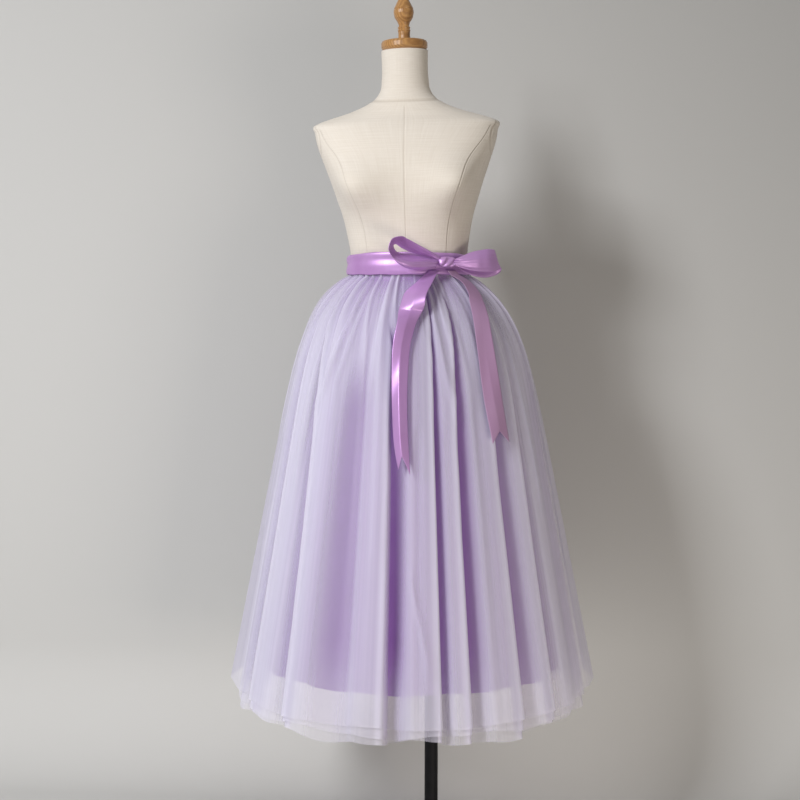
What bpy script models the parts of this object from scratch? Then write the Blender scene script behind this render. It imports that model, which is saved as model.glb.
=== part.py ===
"""Gathered tulle skirt with a tied satin sash, worn on a limbless dress form on its stand.

Metres, +Z up. The front faces -Y and +X is the wearer's left, the viewer's right.
The origin is the centre of the stand's underside, on the floor and on the pole's axis.
Cloth pieces are thin closed walls: a surface worked out from the sizes below, thickened.
"""

from collections import namedtuple
from math import atan2, cos, exp, pi, radians, sin

import bmesh
import bpy
from mathutils import Matrix, Vector

# ---------------------------------------------------------------- driving sizes, metres
GAP = 0.0003  # clearance between pieces that meet
WAIST = Vector((-0.045, 0.0, 1.150))  # waist centre: the form stands a little off the pole
FORM_LEAN = radians(1.3)  # the form leans this much towards -X above its waist

BASE_RADIUS, BASE_THICK = 0.170, 0.010
COLLAR_RADIUS, COLLAR_TOP, SOCKET_FLOOR = 0.023, 0.045, 0.004
POLE_RADIUS, POLE_SHORT = 0.0136, 0.0045  # the pole ends this far under the form

CLOTH = 0.0012  # wall of tulle, satin and ribbon
WAIST_HALF = 0.1155  # half the form's width at the waist
TUCK = 0.012  # how far the gathered tops run up behind the sash
FLARE_START, FLARE_LATER = 0.0015, 0.0022  # plies spring out here, inner ones later
SASH_LOW, SASH_OFF = 0.0015, 0.0094
SASH_FRONT, SASH_SIDE, SASH_BACK = 0.0455, 0.0320, 0.0400  # height of its top edge
PLY_OFF, LINING_OFF = 0.0070, 0.0012  # walls at the waist, off the form

HEM_DROP = 0.826  # waist seam to the outer ply's hem
SPRING, SPRING_LENGTH, SLOPE = 0.0845, 0.062, 0.186  # the gathers spring out, then hang
SHARE_WAIST, SHARE_GAIN, SHARE_LENGTH = 0.74, 0.16, 0.20  # depth as a share of width
SWAY, SWAY_LENGTH = 0.005, 0.10
FOLD_POWER = 0.8
PLY_STEP_TOP, PLY_STEP_HEM = 0.0019, 0.0060  # spacing of the plies at waist and hem
LINING_DROP, LINING_START = 0.782, 0.0085
LINING_HALF_HEM, LINING_SHARE = 0.296, 0.86
LINING_WAVES, LINING_WAVE = 12, 0.005

# ---------------------------------------------------------------- short tables
Section = namedtuple("Section", "rise half front back square")
FORM_SECTIONS = [  # rise above the waist, half width, reach forward and back, corner power
    Section(-0.215, 0.1500, 0.100, 0.112, 2.2),
    Section(-0.160, 0.1540, 0.103, 0.114, 2.2),
    Section(-0.100, 0.1440, 0.098, 0.104, 2.2),
    Section(-0.045, 0.1250, 0.088, 0.090, 2.0),
    Section(-0.011, 0.1148, 0.082, 0.082, 2.0),
    Section(0.045, 0.1162, 0.083, 0.083, 2.0),
    Section(0.085, 0.1225, 0.088, 0.087, 2.1),
    Section(0.120, 0.1300, 0.093, 0.091, 2.2),
    Section(0.150, 0.1395, 0.098, 0.095, 2.2),
    Section(0.180, 0.1490, 0.101, 0.098, 2.3),
    Section(0.208, 0.1588, 0.101, 0.099, 2.4),
    Section(0.235, 0.1685, 0.096, 0.098, 2.5),
    Section(0.260, 0.1765, 0.088, 0.095, 2.6),
    Section(0.282, 0.1805, 0.078, 0.089, 2.5),
    Section(0.299, 0.1810, 0.067, 0.079, 2.3),
    Section(0.309, 0.1560, 0.059, 0.070, 2.1),
    Section(0.320, 0.1180, 0.053, 0.062, 2.0),
    Section(0.333, 0.0840, 0.048, 0.055, 2.0),
    Section(0.346, 0.0620, 0.045, 0.050, 2.0),
    Section(0.362, 0.0500, 0.043, 0.047, 2.0),
    Section(0.385, 0.0462, 0.042, 0.045, 2.0),
    Section(0.4400, 0.0458, 0.042, 0.044, 2.0),
]
FORM_SIDES = 44
BUST_RISE, BUST_AZ, BUST_REACH = 0.172, radians(37), 0.019
BUST_TALL, BUST_WIDE = 0.052, radians(24)

Turned = namedtuple("Turned", "rise radius")
CAP_PROFILE = [  # neck cap: a wooden disc with a rounded rim
    Turned(0.4403, 0.0385), Turned(0.4425, 0.0430), Turned(0.4465, 0.0455),
    Turned(0.4545, 0.0455), Turned(0.4585, 0.0435), Turned(0.4600, 0.0390),
]
FINIAL_PROFILE = [  # stem, two beads, bulb with a ring groove, and a plain rounded top
    Turned(0.4603, 0.0125), Turned(0.4700, 0.0115), Turned(0.4770, 0.0118),
    Turned(0.4795, 0.0128), Turned(0.4820, 0.0112), Turned(0.4850, 0.0124),
    Turned(0.4885, 0.0100), Turned(0.4950, 0.0120), Turned(0.5040, 0.0178),
    Turned(0.5130, 0.0198), Turned(0.5190, 0.0196), Turned(0.5205, 0.0184),
    Turned(0.5222, 0.0190), Turned(0.5300, 0.0150), Turned(0.5380, 0.0108),
    Turned(0.5460, 0.0100), Turned(0.5520, 0.0075), Turned(0.5545, 0.0035),
]

Trough = namedtuple("Trough", "azimuth spread depth")
TROUGHS = [  # between the flutes: degrees from the front towards +X, half spread, depth at hem
    Trough(-81, 4.0, 0.014), Trough(-57, 3.5, 0.022), Trough(-37, 3.5, 0.022),
    Trough(-21, 5.5, 0.018), Trough(-3, 5.0, 0.034), Trough(12.8, 3.2, 0.034),
    Trough(23, 4.4, 0.034), Trough(42.5, 4.4, 0.028), Trough(53, 3.0, 0.014),
    Trough(71, 4.5, 0.018), Trough(86, 3.5, 0.024), Trough(99, 4.0, 0.018),
    Trough(114, 4.5, 0.030), Trough(131, 4.0, 0.022), Trough(146, 4.0, 0.032),
    Trough(159, 3.5, 0.024), Trough(174, 5.0, 0.032), Trough(189, 3.5, 0.026),
    Trough(203, 5.0, 0.022), Trough(220, 3.5, 0.032), Trough(236, 5.0, 0.026),
    Trough(250, 3.5, 0.020), Trough(264, 4.0, 0.030),
]
WIDE_FLUTE = 9.0  # a flute wider than this, in degrees, gets points along its crest

Ply = namedtuple("Ply", "name steps_in drop")
PLIES = [
    Ply("tulle_outer", 0, HEM_DROP),
    Ply("tulle_middle", 1, HEM_DROP + 0.010),
    Ply("tulle_inner", 2, HEM_DROP + 0.016),
]
NEAR_FALLS = [0.0, 0.020, 0.058]  # rings below a ply's spring
FAR_DROPS = [0.140, 0.330, 0.580]  # rings between those and the hem

Station = namedtuple("Station", "drop azimuth width turn")
KNOT_AZ = radians(36.0)
TAIL_CLEAR = 0.0065  # the tails lie this far off the outer ply's crests
TAIL_LEFT = [  # drop below the waist seam, degrees round, width, turn about its length
    Station(-0.0090, 25.0, 0.018, 10), Station(0.0100, 15.0, 0.030, 25),
    Station(0.0300, 7.0, 0.040, 12), Station(0.0600, 3.0, 0.036, -12),
    Station(0.1000, -0.6, 0.032, -18), Station(0.1500, -1.5, 0.030, -10),
    Station(0.2200, -2.2, 0.030, -4), Station(0.2900, -1.6, 0.030, 4),
    Station(0.3500, 0.2, 0.018, 10),
]
TAIL_RIGHT = [
    Station(-0.0090, 41.0, 0.018, -10), Station(0.0080, 47.5, 0.026, -20),
    Station(0.0300, 48.0, 0.026, -12), Station(0.0650, 43.8, 0.024, 10),
    Station(0.1100, 40.8, 0.024, 14), Station(0.1700, 39.8, 0.026, 8),
    Station(0.2400, 40.2, 0.030, 0), Station(0.3140, 41.2, 0.034, -4),
]

Loop = namedtuple("Loop", "name side rise_deg length opening end_width tilt_deg")
LOOPS = [  # side -1 goes towards -X; tilt is how far the ribbon's width leans back
    Loop("bow_loop_left", -1, 17, 0.098, 0.036, 0.040, 55),
    Loop("bow_loop_right", 1, -2, 0.096, 0.026, 0.046, 12),
]
KNOT_SIZE = Vector((0.037, 0.017, 0.021))  # along the waist, outward, and up
KNOT_RISE, KNOT_CLEAR, KNOT_ROUND = 0.0255, 0.0022, 0.0055
BOW_TURN = radians(8)  # the bow faces this much nearer the front than its knot lies
ROOT_WIDTH = 0.013
LOOP_STEPS, LOOP_PLIES_APART = 18, 0.0022
LOOP_FULL_ROOT, LOOP_FULL_END = 0.55, 0.45  # how round the loop is near the knot, and more at its end

COLOURS = {  # linear base colour, roughness
    "black_steel": ((0.012, 0.012, 0.014), 0.45),
    "linen": ((0.76, 0.72, 0.62), 0.90),
    "turned_wood": ((0.48, 0.26, 0.09), 0.40),
    "lilac_satin": ((0.36, 0.14, 0.50), 0.35),
    "purple_satin": ((0.42, 0.14, 0.52), 0.28),
    "white_tulle": ((0.72, 0.66, 0.84), 0.80),
}


# ---------------------------------------------------------------- making objects
def clear_scene():
    """Remove every object that the file opened with."""
    for old in list(bpy.data.objects):
        bpy.data.objects.remove(old, do_unlink=True)


def material(finish):
    """The Principled material of a finish, made once."""
    found = bpy.data.materials.get(finish)
    if found:
        return found
    colour, roughness = COLOURS[finish]
    made = bpy.data.materials.new(finish)
    made.use_nodes = True
    shader = made.node_tree.nodes["Principled BSDF"]
    shader.inputs["Base Color"].default_value = (*colour, 1.0)
    shader.inputs["Roughness"].default_value = roughness
    return made


def make_object(name, work, finish, smooth_angle=radians(40)):
    """An object from a bmesh, shaded smooth, with its finish."""
    mesh = bpy.data.meshes.new(name)
    bmesh.ops.recalc_face_normals(work, faces=work.faces)
    work.to_mesh(mesh)
    work.free()
    mesh.shade_smooth()
    mesh.set_sharp_from_angle(angle=smooth_angle)
    made = bpy.data.objects.new(name, mesh)
    made.data.materials.append(material(finish))
    bpy.context.scene.collection.objects.link(made)
    return made


def add_rings(work, rings, closed=True):
    """Join rows of points by quads; closed rings run all round."""
    rows = [[work.verts.new(p) for p in ring] for ring in rings]
    count = len(rings[0])
    for low, high in zip(rows, rows[1:]):
        for i in range(count if closed else count - 1):
            j = (i + 1) % count
            work.faces.new((low[i], low[j], high[j], high[i]))
    return rows


def thicken(made, thickness=CLOTH):
    """Give a cloth surface its wall, half to each side."""
    wall = made.modifiers.new("wall", "SOLIDIFY")
    wall.thickness = thickness
    wall.offset = 0.0
    wall.use_even_offset = True
    wall.use_quality_normals = True
    return made


def turned_body(name, profile, finish, centre, sides=40, matrix=None):
    """A closed body turned about a vertical axis, from (rise, radius) rows."""
    work = bmesh.new()
    rings = [
        [
            centre + Vector((r * cos(a), r * sin(a), z))
            for a in (2 * pi * i / sides for i in range(sides))
        ]
        for z, r in profile
    ]
    rows = add_rings(work, rings)
    work.faces.new(list(reversed(rows[0])))
    work.faces.new(rows[-1])
    if matrix:
        bmesh.ops.transform(work, matrix=matrix, verts=work.verts)
    return make_object(name, work, finish)


def form_lean():
    """The turn of everything above the waist about the waist's centre."""
    return (
        Matrix.Translation(WAIST)
        @ Matrix.Rotation(-FORM_LEAN, 4, "Y")
        @ Matrix.Translation(-WAIST)
    )


# ---------------------------------------------------------------- stand and form
def build_stand():
    """A round plate with a collar, and the pole that stands in it."""
    bore = POLE_RADIUS + GAP
    profile = [
        Turned(0.0, BASE_RADIUS - 0.002), Turned(0.002, BASE_RADIUS),
        Turned(BASE_THICK - 0.003, BASE_RADIUS), Turned(BASE_THICK, BASE_RADIUS - 0.004),
        Turned(BASE_THICK, COLLAR_RADIUS + 0.004), Turned(BASE_THICK + 0.004, COLLAR_RADIUS),
        Turned(COLLAR_TOP - 0.002, COLLAR_RADIUS), Turned(COLLAR_TOP, COLLAR_RADIUS - 0.002),
        Turned(COLLAR_TOP, bore), Turned(SOCKET_FLOOR, bore),
    ]
    turned_body("stand_base", profile, "black_steel", Vector(), sides=48)
    top = WAIST.z + FORM_SECTIONS[0].rise - POLE_SHORT
    pole = [Turned(SOCKET_FLOOR + GAP, POLE_RADIUS), Turned(top, POLE_RADIUS)]
    turned_body("stand_pole", pole, "black_steel", Vector(), sides=24)


def form_point(section, azimuth):
    """A point of the form's section: a rounded oval, fuller where the bust is."""
    across, along = sin(azimuth), cos(azimuth)
    reach = section.front if along > 0 else section.back
    power = section.square
    scale = (abs(across) ** power + abs(along) ** power) ** (-1.0 / power)
    x = section.half * scale * across
    y = -reach * scale * along
    for side in (-1, 1):
        tall = (section.rise - BUST_RISE) / BUST_TALL
        wide = (azimuth - side * BUST_AZ) / BUST_WIDE
        swell = BUST_REACH * exp(-tall * tall - wide * wide)
        x += 0.35 * side * swell
        y -= swell
    return WAIST + Vector((x, y, section.rise))


def build_form():
    """The dress form's body from the hips to the top of its neck."""
    turns = [2 * pi * i / FORM_SIDES - pi for i in range(FORM_SIDES)]
    work = bmesh.new()
    rows = add_rings(work, [[form_point(s, a) for a in turns] for s in FORM_SECTIONS])
    work.faces.new(list(reversed(rows[0])))
    work.faces.new(rows[-1])
    above = [v for v in work.verts if v.co.z > WAIST.z]
    bmesh.ops.transform(work, matrix=form_lean(), verts=above)
    make_object("form_body", work, "linen")


def build_neck():
    """The wooden disc that closes the neck, and the turned finial on it."""
    lean = form_lean()
    turned_body("neck_cap", CAP_PROFILE, "turned_wood", WAIST, 48, lean)
    turned_body("neck_finial", FINIAL_PROFILE, "turned_wood", WAIST, 28, lean)


# ---------------------------------------------------------------- the skirt
def flare(drop):
    """How much wider than the waist the outer ply's crests are at a drop."""
    drop = max(drop, 0.0)
    return SPRING + SLOPE * drop - SPRING * exp(-drop / SPRING_LENGTH)


def depth_share(drop):
    """Front-to-back depth as a share of width: an oval waist, a rounder hem."""
    return SHARE_WAIST + SHARE_GAIN * (1.0 - exp(-max(drop, 0.0) / SHARE_LENGTH))


def sway(drop):
    """The skirt hangs straight, so it drifts off the leaning form's middle."""
    return SWAY * (1.0 - exp(-max(drop, 0.0) / SWAY_LENGTH))


def oval_point(half, share, off, azimuth, drop):
    """A point of a horizontal oval about the skirt's middle, moved out by off."""
    across = WAIST.x + sway(drop) + (half + off) * sin(azimuth)
    return Vector((across, -(half * share + off) * cos(azimuth), WAIST.z - drop))


def crest_azimuths():
    """Degrees round the skirt and how deep in its trough each one is, 0 to 1."""
    found = []
    for here, after in zip(TROUGHS, TROUGHS[1:] + TROUGHS[:1]):
        found += [(here.azimuth - here.spread, 0.0), (here.azimuth, here.depth)]
        found.append((here.azimuth + here.spread, 0.0))
        start = here.azimuth + here.spread
        end = after.azimuth - after.spread
        if end < start:
            end += 360.0
        pieces = int((end - start) // WIDE_FLUTE)
        for k in range(pieces):
            found.append((start + (end - start) * (k + 1) / (pieces + 1), 0.0))
    return found


def fold_growth(drop):
    """The troughs open from nothing at the waist to their full depth at the hem."""
    return (max(drop, 0.0) / HEM_DROP) ** FOLD_POWER


def flare_start(ply):
    """The drop at which a ply springs out from the waist."""
    return FLARE_START + FLARE_LATER * ply.steps_in


def ply_ring(ply, drop):
    """One horizontal ring of points of a tulle ply."""
    fall = max(drop - flare_start(ply), 0.0)
    grown = fall / HEM_DROP
    step = PLY_STEP_TOP + (PLY_STEP_HEM - PLY_STEP_TOP) * grown**0.5
    half, share = WAIST_HALF + flare(fall), depth_share(fall)
    ring = []
    for degrees, depth in crest_azimuths():
        inward = depth * fold_growth(fall) * (1.0 - 0.05 * ply.steps_in)
        off = PLY_OFF - ply.steps_in * step - inward
        ring.append(oval_point(half, share, off, radians(degrees), drop))
    return ring


def build_tulle():
    """Three gathered plies of tulle, nested at their folds."""
    for ply in PLIES:
        work = bmesh.new()
        near = [flare_start(ply) + fall for fall in NEAR_FALLS]
        drops = [-TUCK, *near, *FAR_DROPS, ply.drop]
        add_rings(work, [ply_ring(ply, drop) for drop in drops])
        thicken(make_object(ply.name, work, "white_tulle"))


def build_lining():
    """The satin underskirt, flatter than the tulle, with low soft waves."""
    work = bmesh.new()
    sides, rings = 48, []
    for drop in (-TUCK, LINING_START, 0.070, 0.200, 0.450, LINING_DROP):
        grown = max(drop - LINING_START, 0.0) / LINING_DROP
        half = WAIST_HALF + (LINING_HALF_HEM - WAIST_HALF) * grown**0.7
        share = SHARE_WAIST + (LINING_SHARE - SHARE_WAIST) * grown**0.5
        ring = []
        for i in range(sides):
            turn = 2 * pi * i / sides
            off = LINING_OFF + LINING_WAVE * grown * cos(LINING_WAVES * turn)
            ring.append(oval_point(half, share, off, turn, drop))
        rings.append(ring)
    add_rings(work, rings)
    thicken(make_object("lining", work, "lilac_satin"))


# ---------------------------------------------------------------- the sash and its bow
def sash_top(azimuth):
    """Height of the sash's top edge: full in front, drawn narrower at the sides."""
    end = SASH_FRONT if cos(azimuth) > 0 else SASH_BACK
    return SASH_SIDE + (end - SASH_SIDE) * abs(cos(azimuth)) ** 0.7


def sash_point(azimuth, rise, off=SASH_OFF):
    """A point on the sash, off the form's waist."""
    p = oval_point(WAIST_HALF, depth_share(0.0), off, azimuth, 0.0)
    return Vector((p.x, p.y, WAIST.z + rise))


def build_sash():
    """The ribbon round the waist, over the plies' gathered tops."""
    sides = 48
    work = bmesh.new()
    rings = []
    for share in (0.0, 0.5, 1.0):
        ring = []
        for i in range(sides):
            turn = 2 * pi * i / sides
            ring.append(sash_point(turn, SASH_LOW + (sash_top(turn) - SASH_LOW) * share))
        rings.append(ring)
    add_rings(work, rings)
    thicken(make_object("sash_band", work, "purple_satin"))


def bow_frame():
    """The bow's directions: along the waist, outward and up, and its knot's centre."""
    turn = KNOT_AZ - BOW_TURN
    along = Vector((cos(turn), sin(turn), 0.0))
    out = Vector((sin(turn), -cos(turn), 0.0))
    centre = sash_point(KNOT_AZ, KNOT_RISE) + out * (KNOT_SIZE.y / 2 + KNOT_CLEAR)
    return along, out, centre


def build_knot():
    """The knot: a small rounded block in front of the sash."""
    along, out, centre = bow_frame()
    work = bmesh.new()
    bmesh.ops.create_cube(work, size=1.0)
    bmesh.ops.scale(work, vec=KNOT_SIZE, verts=work.verts)
    bmesh.ops.bevel(
        work, geom=work.edges[:], offset=KNOT_ROUND, segments=2, profile=0.6, affect="EDGES"
    )
    turn = Matrix.Rotation(atan2(along.y, along.x), 4, "Z")
    bmesh.ops.transform(work, matrix=Matrix.Translation(centre) @ turn, verts=work.verts)
    make_object("bow_knot", work, "purple_satin")


def build_loops():
    """The bow's two loops: ribbon bent round and back to the knot."""
    along, out, centre = bow_frame()
    for loop in LOOPS:
        rise = radians(loop.rise_deg)
        axis = along * (loop.side * cos(rise)) + Vector((0, 0, sin(rise)))
        face_up = Vector((0, 0, cos(rise))) - along * (loop.side * sin(rise))
        tilt = radians(loop.tilt_deg)
        width_way = face_up * cos(tilt) - out * sin(tilt)
        open_way = axis.cross(width_way).normalized()
        root = centre + axis * (KNOT_SIZE.x / 2 + 0.0012)
        work = bmesh.new()
        rows = []
        for k in range(LOOP_STEPS + 1):
            s = k / LOOP_STEPS
            far = sin(pi * s)
            spread = LOOP_PLIES_APART * (1 if s < 0.5 else -1) * cos(pi * s) ** 2
            full = LOOP_FULL_ROOT + LOOP_FULL_END * far
            aside = loop.opening / 2 * sin(2 * pi * s) * full + spread
            half = (ROOT_WIDTH + (loop.end_width - ROOT_WIDTH) * far**0.8) / 2
            mid = root + axis * (loop.length * far) + open_way * aside
            rows.append([mid + width_way * (half * t) for t in (-1, -0.5, 0, 0.5, 1)])
        add_rings(work, rows, closed=False)
        thicken(make_object(loop.name, work, "purple_satin"))


def tail_point(azimuth, drop, off):
    """A point off the outer ply's crests, or off the sash above the seam."""
    half = WAIST_HALF + flare(drop)
    return oval_point(half, depth_share(drop), SASH_OFF + off, azimuth, drop)


def build_tail(name, stations):
    """A sash end that hangs over the tulle, from under the knot."""
    work = bmesh.new()
    rows = []
    for st in stations:
        turn = radians(st.azimuth)
        here = tail_point(turn, st.drop, TAIL_CLEAR)
        ahead = tail_point(turn + 0.01, st.drop, TAIL_CLEAR)
        across = (ahead - here).normalized()
        away = Vector((across.y, -across.x, 0.0))
        lean = radians(st.turn)
        side = across * cos(lean) + away * sin(lean)
        lift = abs(sin(lean)) * st.width / 2
        rows.append([here + away * lift + side * (st.width / 2 * t) for t in (-1, 0, 1)])
    add_rings(work, rows, closed=False)
    thicken(make_object(name, work, "purple_satin"))


clear_scene()
build_stand()
build_form()
build_neck()
build_lining()
build_tulle()
build_sash()
build_knot()
build_loops()
build_tail("sash_tail_left", TAIL_LEFT)
build_tail("sash_tail_right", TAIL_RIGHT)
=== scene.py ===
"""Looks of a gathered tulle skirt with a tied satin sash, worn on a limbless dress form.

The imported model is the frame: metres, +Z up, the front faces -Y, +X is the wearer's left.
Cloth is built as thin sheets on the form of the solids that it replaces, and the turned
wood and the stand keep their own nodes and get their finishes.
"""

from __future__ import annotations

import logging
from dataclasses import dataclass, field
from enum import Enum
from math import cos, pi, radians, sin

import bpy
import numpy as np
from mathutils import Matrix, Vector


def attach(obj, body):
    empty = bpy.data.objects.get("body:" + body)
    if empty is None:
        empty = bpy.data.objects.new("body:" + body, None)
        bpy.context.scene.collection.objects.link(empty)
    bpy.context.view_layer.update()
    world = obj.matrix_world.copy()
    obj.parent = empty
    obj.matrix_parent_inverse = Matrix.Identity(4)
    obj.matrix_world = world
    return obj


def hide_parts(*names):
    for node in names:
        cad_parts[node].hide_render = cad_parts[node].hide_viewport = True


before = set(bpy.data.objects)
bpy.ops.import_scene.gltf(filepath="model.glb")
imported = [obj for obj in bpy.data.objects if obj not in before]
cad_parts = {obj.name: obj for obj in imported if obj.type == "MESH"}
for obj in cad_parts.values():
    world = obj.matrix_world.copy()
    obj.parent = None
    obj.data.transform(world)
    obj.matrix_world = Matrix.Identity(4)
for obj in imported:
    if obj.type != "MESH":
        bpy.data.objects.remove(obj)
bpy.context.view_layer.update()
LOG = logging.getLogger("tulle_skirt")

Array = np.ndarray
Colour = tuple[float, float, float]
Number = float | bpy.types.NodeSocket
Paint = Colour | bpy.types.NodeSocket

WAIST = Vector((-0.045, 0.0, 1.150))  # the waist's centre, a little off the pole's axis
FORM_LEAN = radians(1.3)  # the form above its waist leans this much towards -X
WAIST_HALF = 0.1155  # half the form's width at the waist
HEM_DROP = 0.826  # waist seam to the outer ply's hem
SASH_OFF = 0.0094  # the sash's distance off the form's waist
RIBBON_HALF_WALL = 0.0004
RIBBON_WIDE = 0.044  # the sash and its bow are cut from one ribbon


class Slot(Enum):
    """The record's material slots."""

    STEEL = "black_steel"
    LINEN = "linen"
    WOOD = "turned_wood"
    LINING = "lilac_satin"
    RIBBON = "purple_satin"
    TULLE = "white_tulle"


class Hold(Enum):
    """How a sheet of cloth is held."""

    GATHERED = "gathered"
    HUNG = "hung"
    STRETCHED = "stretched"
    FOLDED = "folded"


# ---------------------------------------------------------------- small shared functions
def smooth(value: Array) -> Array:
    """Ease a value from 0 to 1, flat at both ends."""
    held = np.clip(value, 0.0, 1.0)
    return held * held * (3.0 - 2.0 * held)


def hump(distance: Array, reach: float | Array) -> Array:
    """A soft rise of height 1 at distance 0, gone at about twice its reach."""
    return np.exp(-((distance / reach) ** 2))


def wrapped(degrees: Array) -> Array:
    """An angle's equal between -180 and 180 degrees."""
    return (degrees + 180.0) % 360.0 - 180.0


def eased(at: Array, xs: list[float], ys: list[float]) -> Array:
    """Read a short table as a smooth curve.

    Args:
        at: where to read.
        xs: the table's rising column.
        ys: its values.

    Returns:
        The values there, on a cubic through the table's rows.
    """
    knots, values = np.array(xs, float), np.array(ys, float)
    slopes = np.gradient(values, knots)
    place = np.clip(at, knots[0], knots[-1])
    k = np.clip(np.searchsorted(knots, place, side="right") - 1, 0, len(knots) - 2)
    span = knots[k + 1] - knots[k]
    t = (place - knots[k]) / span
    return (
        (2 * t**3 - 3 * t**2 + 1) * values[k]
        + (t**3 - 2 * t**2 + t) * span * slopes[k]
        + (3 * t**2 - 2 * t**3) * values[k + 1]
        + (t**3 - t**2) * span * slopes[k + 1]
    )


def column(rows: list, name: str) -> list[float]:
    """One named column of a short table."""
    return [getattr(row, name) for row in rows]


def mesh_of_rows(
    name: str,
    points: Array,
    uv: Array,
    tube: bool,
    marks: dict[str, Array] | None = None,
) -> bpy.types.Object:
    """Make an object from rows of points joined by quads.

    Args:
        name: the piece's name.
        points: rows by columns by xyz, top row first, columns from -X by the front to +X.
        uv: rows by columns (one column more on a tube) by the two flat sizes, in metres.
        tube: whether the last column joins the first.
        marks: values for the points, by the name that a finish reads them by.

    Returns:
        The new object, with its faces outwards, shaded smooth.
    """
    rows, cols = points.shape[:2]
    index = np.arange(rows * cols).reshape(rows, cols)
    after = np.roll(index, -1, axis=1) if tube else index[:, 1:]
    here = index if tube else index[:, :-1]
    quads = np.stack([here[:-1], here[1:], after[1:], after[:-1]], axis=-1).reshape(-1, 4)
    mesh = bpy.data.meshes.new(name)
    mesh.vertices.add(rows * cols)
    mesh.vertices.foreach_set("co", points.reshape(-1).astype(np.float32))
    mesh.loops.add(quads.size)
    mesh.loops.foreach_set("vertex_index", quads.reshape(-1).astype(np.int32))
    mesh.polygons.add(len(quads))
    mesh.polygons.foreach_set("loop_start", np.arange(0, quads.size, 4, dtype=np.int32))
    mesh.update(calc_edges=True)
    flat = np.stack([uv[:-1, :-1], uv[1:, :-1], uv[1:, 1:], uv[:-1, 1:]], axis=2)
    layer = mesh.uv_layers.new(name="flat_cloth")
    layer.data.foreach_set("uv", flat.reshape(-1).astype(np.float32))
    for mark, values in (marks or {}).items():
        kept = mesh.attributes.new(mark, "FLOAT", "POINT")
        kept.data.foreach_set("value", values.reshape(-1).astype(np.float32))
    mesh.shade_smooth()
    mesh.validate()
    made = bpy.data.objects.new(name, mesh)
    bpy.context.scene.collection.objects.link(made)
    return made


def grid_uv(rows: Array, cols: Array) -> Array:
    """Flat sizes for every row and column, as one array."""
    across, down = np.meshgrid(cols, -rows)
    return np.stack([across, down], axis=-1)


def give_wall(made: bpy.types.Object, thickness: float) -> None:
    """Give an open cloth sheet its wall, half to each side, and apply it.

    Args:
        made: the sheet.
        thickness: the whole wall.
    """
    bpy.ops.object.select_all(action="DESELECT")
    made.select_set(True)
    bpy.context.view_layer.objects.active = made
    wall = made.modifiers.new("wall", "SOLIDIFY")
    wall.thickness = thickness
    wall.offset = 0.0
    wall.use_rim = True
    bpy.ops.object.modifier_apply(modifier=wall.name)
    made.select_set(False)


def declare(made: bpy.types.Object, nodes: list[str]) -> None:
    """Say which nodes a piece stands for and its body, and log it.

    Args:
        made: the piece.
        nodes: the solids that it replaces.
    """
    if nodes:
        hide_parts(*nodes)
    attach(made, "root")
    LOG.info("%s: %d faces, stands for %s", made.name, len(made.data.polygons), nodes)


# ---------------------------------------------------------------- wiring materials
class Bench:
    """A node tree being wired."""

    def __init__(self, tree: bpy.types.NodeTree) -> None:
        """Keep the tree."""
        self.tree = tree

    def add(self, kind: str, inputs: dict | None = None, **settings) -> bpy.types.Node:
        """Add a node.

        Args:
            kind: the node's type, without its ShaderNode prefix.
            inputs: values or sockets for its inputs, by name or number.
            settings: the node's own properties.

        Returns:
            The node.
        """
        node = self.tree.nodes.new("ShaderNode" + kind)
        for name, value in settings.items():
            setattr(node, name, value)
        for name, value in (inputs or {}).items():
            socket = node.inputs[name]
            if isinstance(value, bpy.types.NodeSocket):
                self.tree.links.new(value, socket)
            else:
                socket.default_value = value
        return node

    def math(self, operation: str, *values: Number, clamp: bool = False) -> bpy.types.NodeSocket:
        """A sum of one to three values or sockets."""
        inputs = dict(enumerate(values))
        return self.add("Math", inputs, operation=operation, use_clamp=clamp).outputs[0]

    def blend(self, amount: Number, low: Number, high: Number) -> bpy.types.NodeSocket:
        """A number that runs from low to high as the amount goes from 0 to 1."""
        inputs = {0: amount, 2: low, 3: high}
        return self.add("Mix", inputs, data_type="FLOAT").outputs[0]

    def tint(self, amount: Number, low: Paint, high: Paint) -> bpy.types.NodeSocket:
        """A colour that runs from low to high as the amount goes from 0 to 1."""
        inputs = {0: amount, 6: rgba(low), 7: rgba(high)}
        return self.add("Mix", inputs, data_type="RGBA").outputs[2]

    def spread(
        self, value: Number, low: float, high: float, to_low: float, to_high: float
    ) -> bpy.types.NodeSocket:
        """A value's stretch from one span onto another, held at its ends."""
        inputs = {0: value, 1: low, 2: high, 3: to_low, 4: to_high}
        return self.add("MapRange", inputs).outputs[0]

    def group(self, tree: bpy.types.NodeTree, **inputs) -> bpy.types.Node:
        """Place a shared effect, with its inputs by name (underscores for spaces).

        Args:
            tree: the effect's group.
            inputs: values or sockets for its inputs.

        Returns:
            The group's node.
        """
        node = self.tree.nodes.new("ShaderNodeGroup")
        node.node_tree = tree
        for name, value in inputs.items():
            socket = node.inputs[name.replace("_", " ")]
            if isinstance(value, bpy.types.NodeSocket):
                self.tree.links.new(value, socket)
            else:
                socket.default_value = value
        return node

    def wire(self, out: bpy.types.NodeSocket, into: bpy.types.NodeSocket) -> None:
        """Link two sockets."""
        self.tree.links.new(out, into)


def rgba(colour: Paint) -> tuple[float, float, float, float] | bpy.types.NodeSocket:
    """A colour with its alpha, or the socket that was given."""
    return colour if isinstance(colour, bpy.types.NodeSocket) else (*colour, 1.0)


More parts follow.
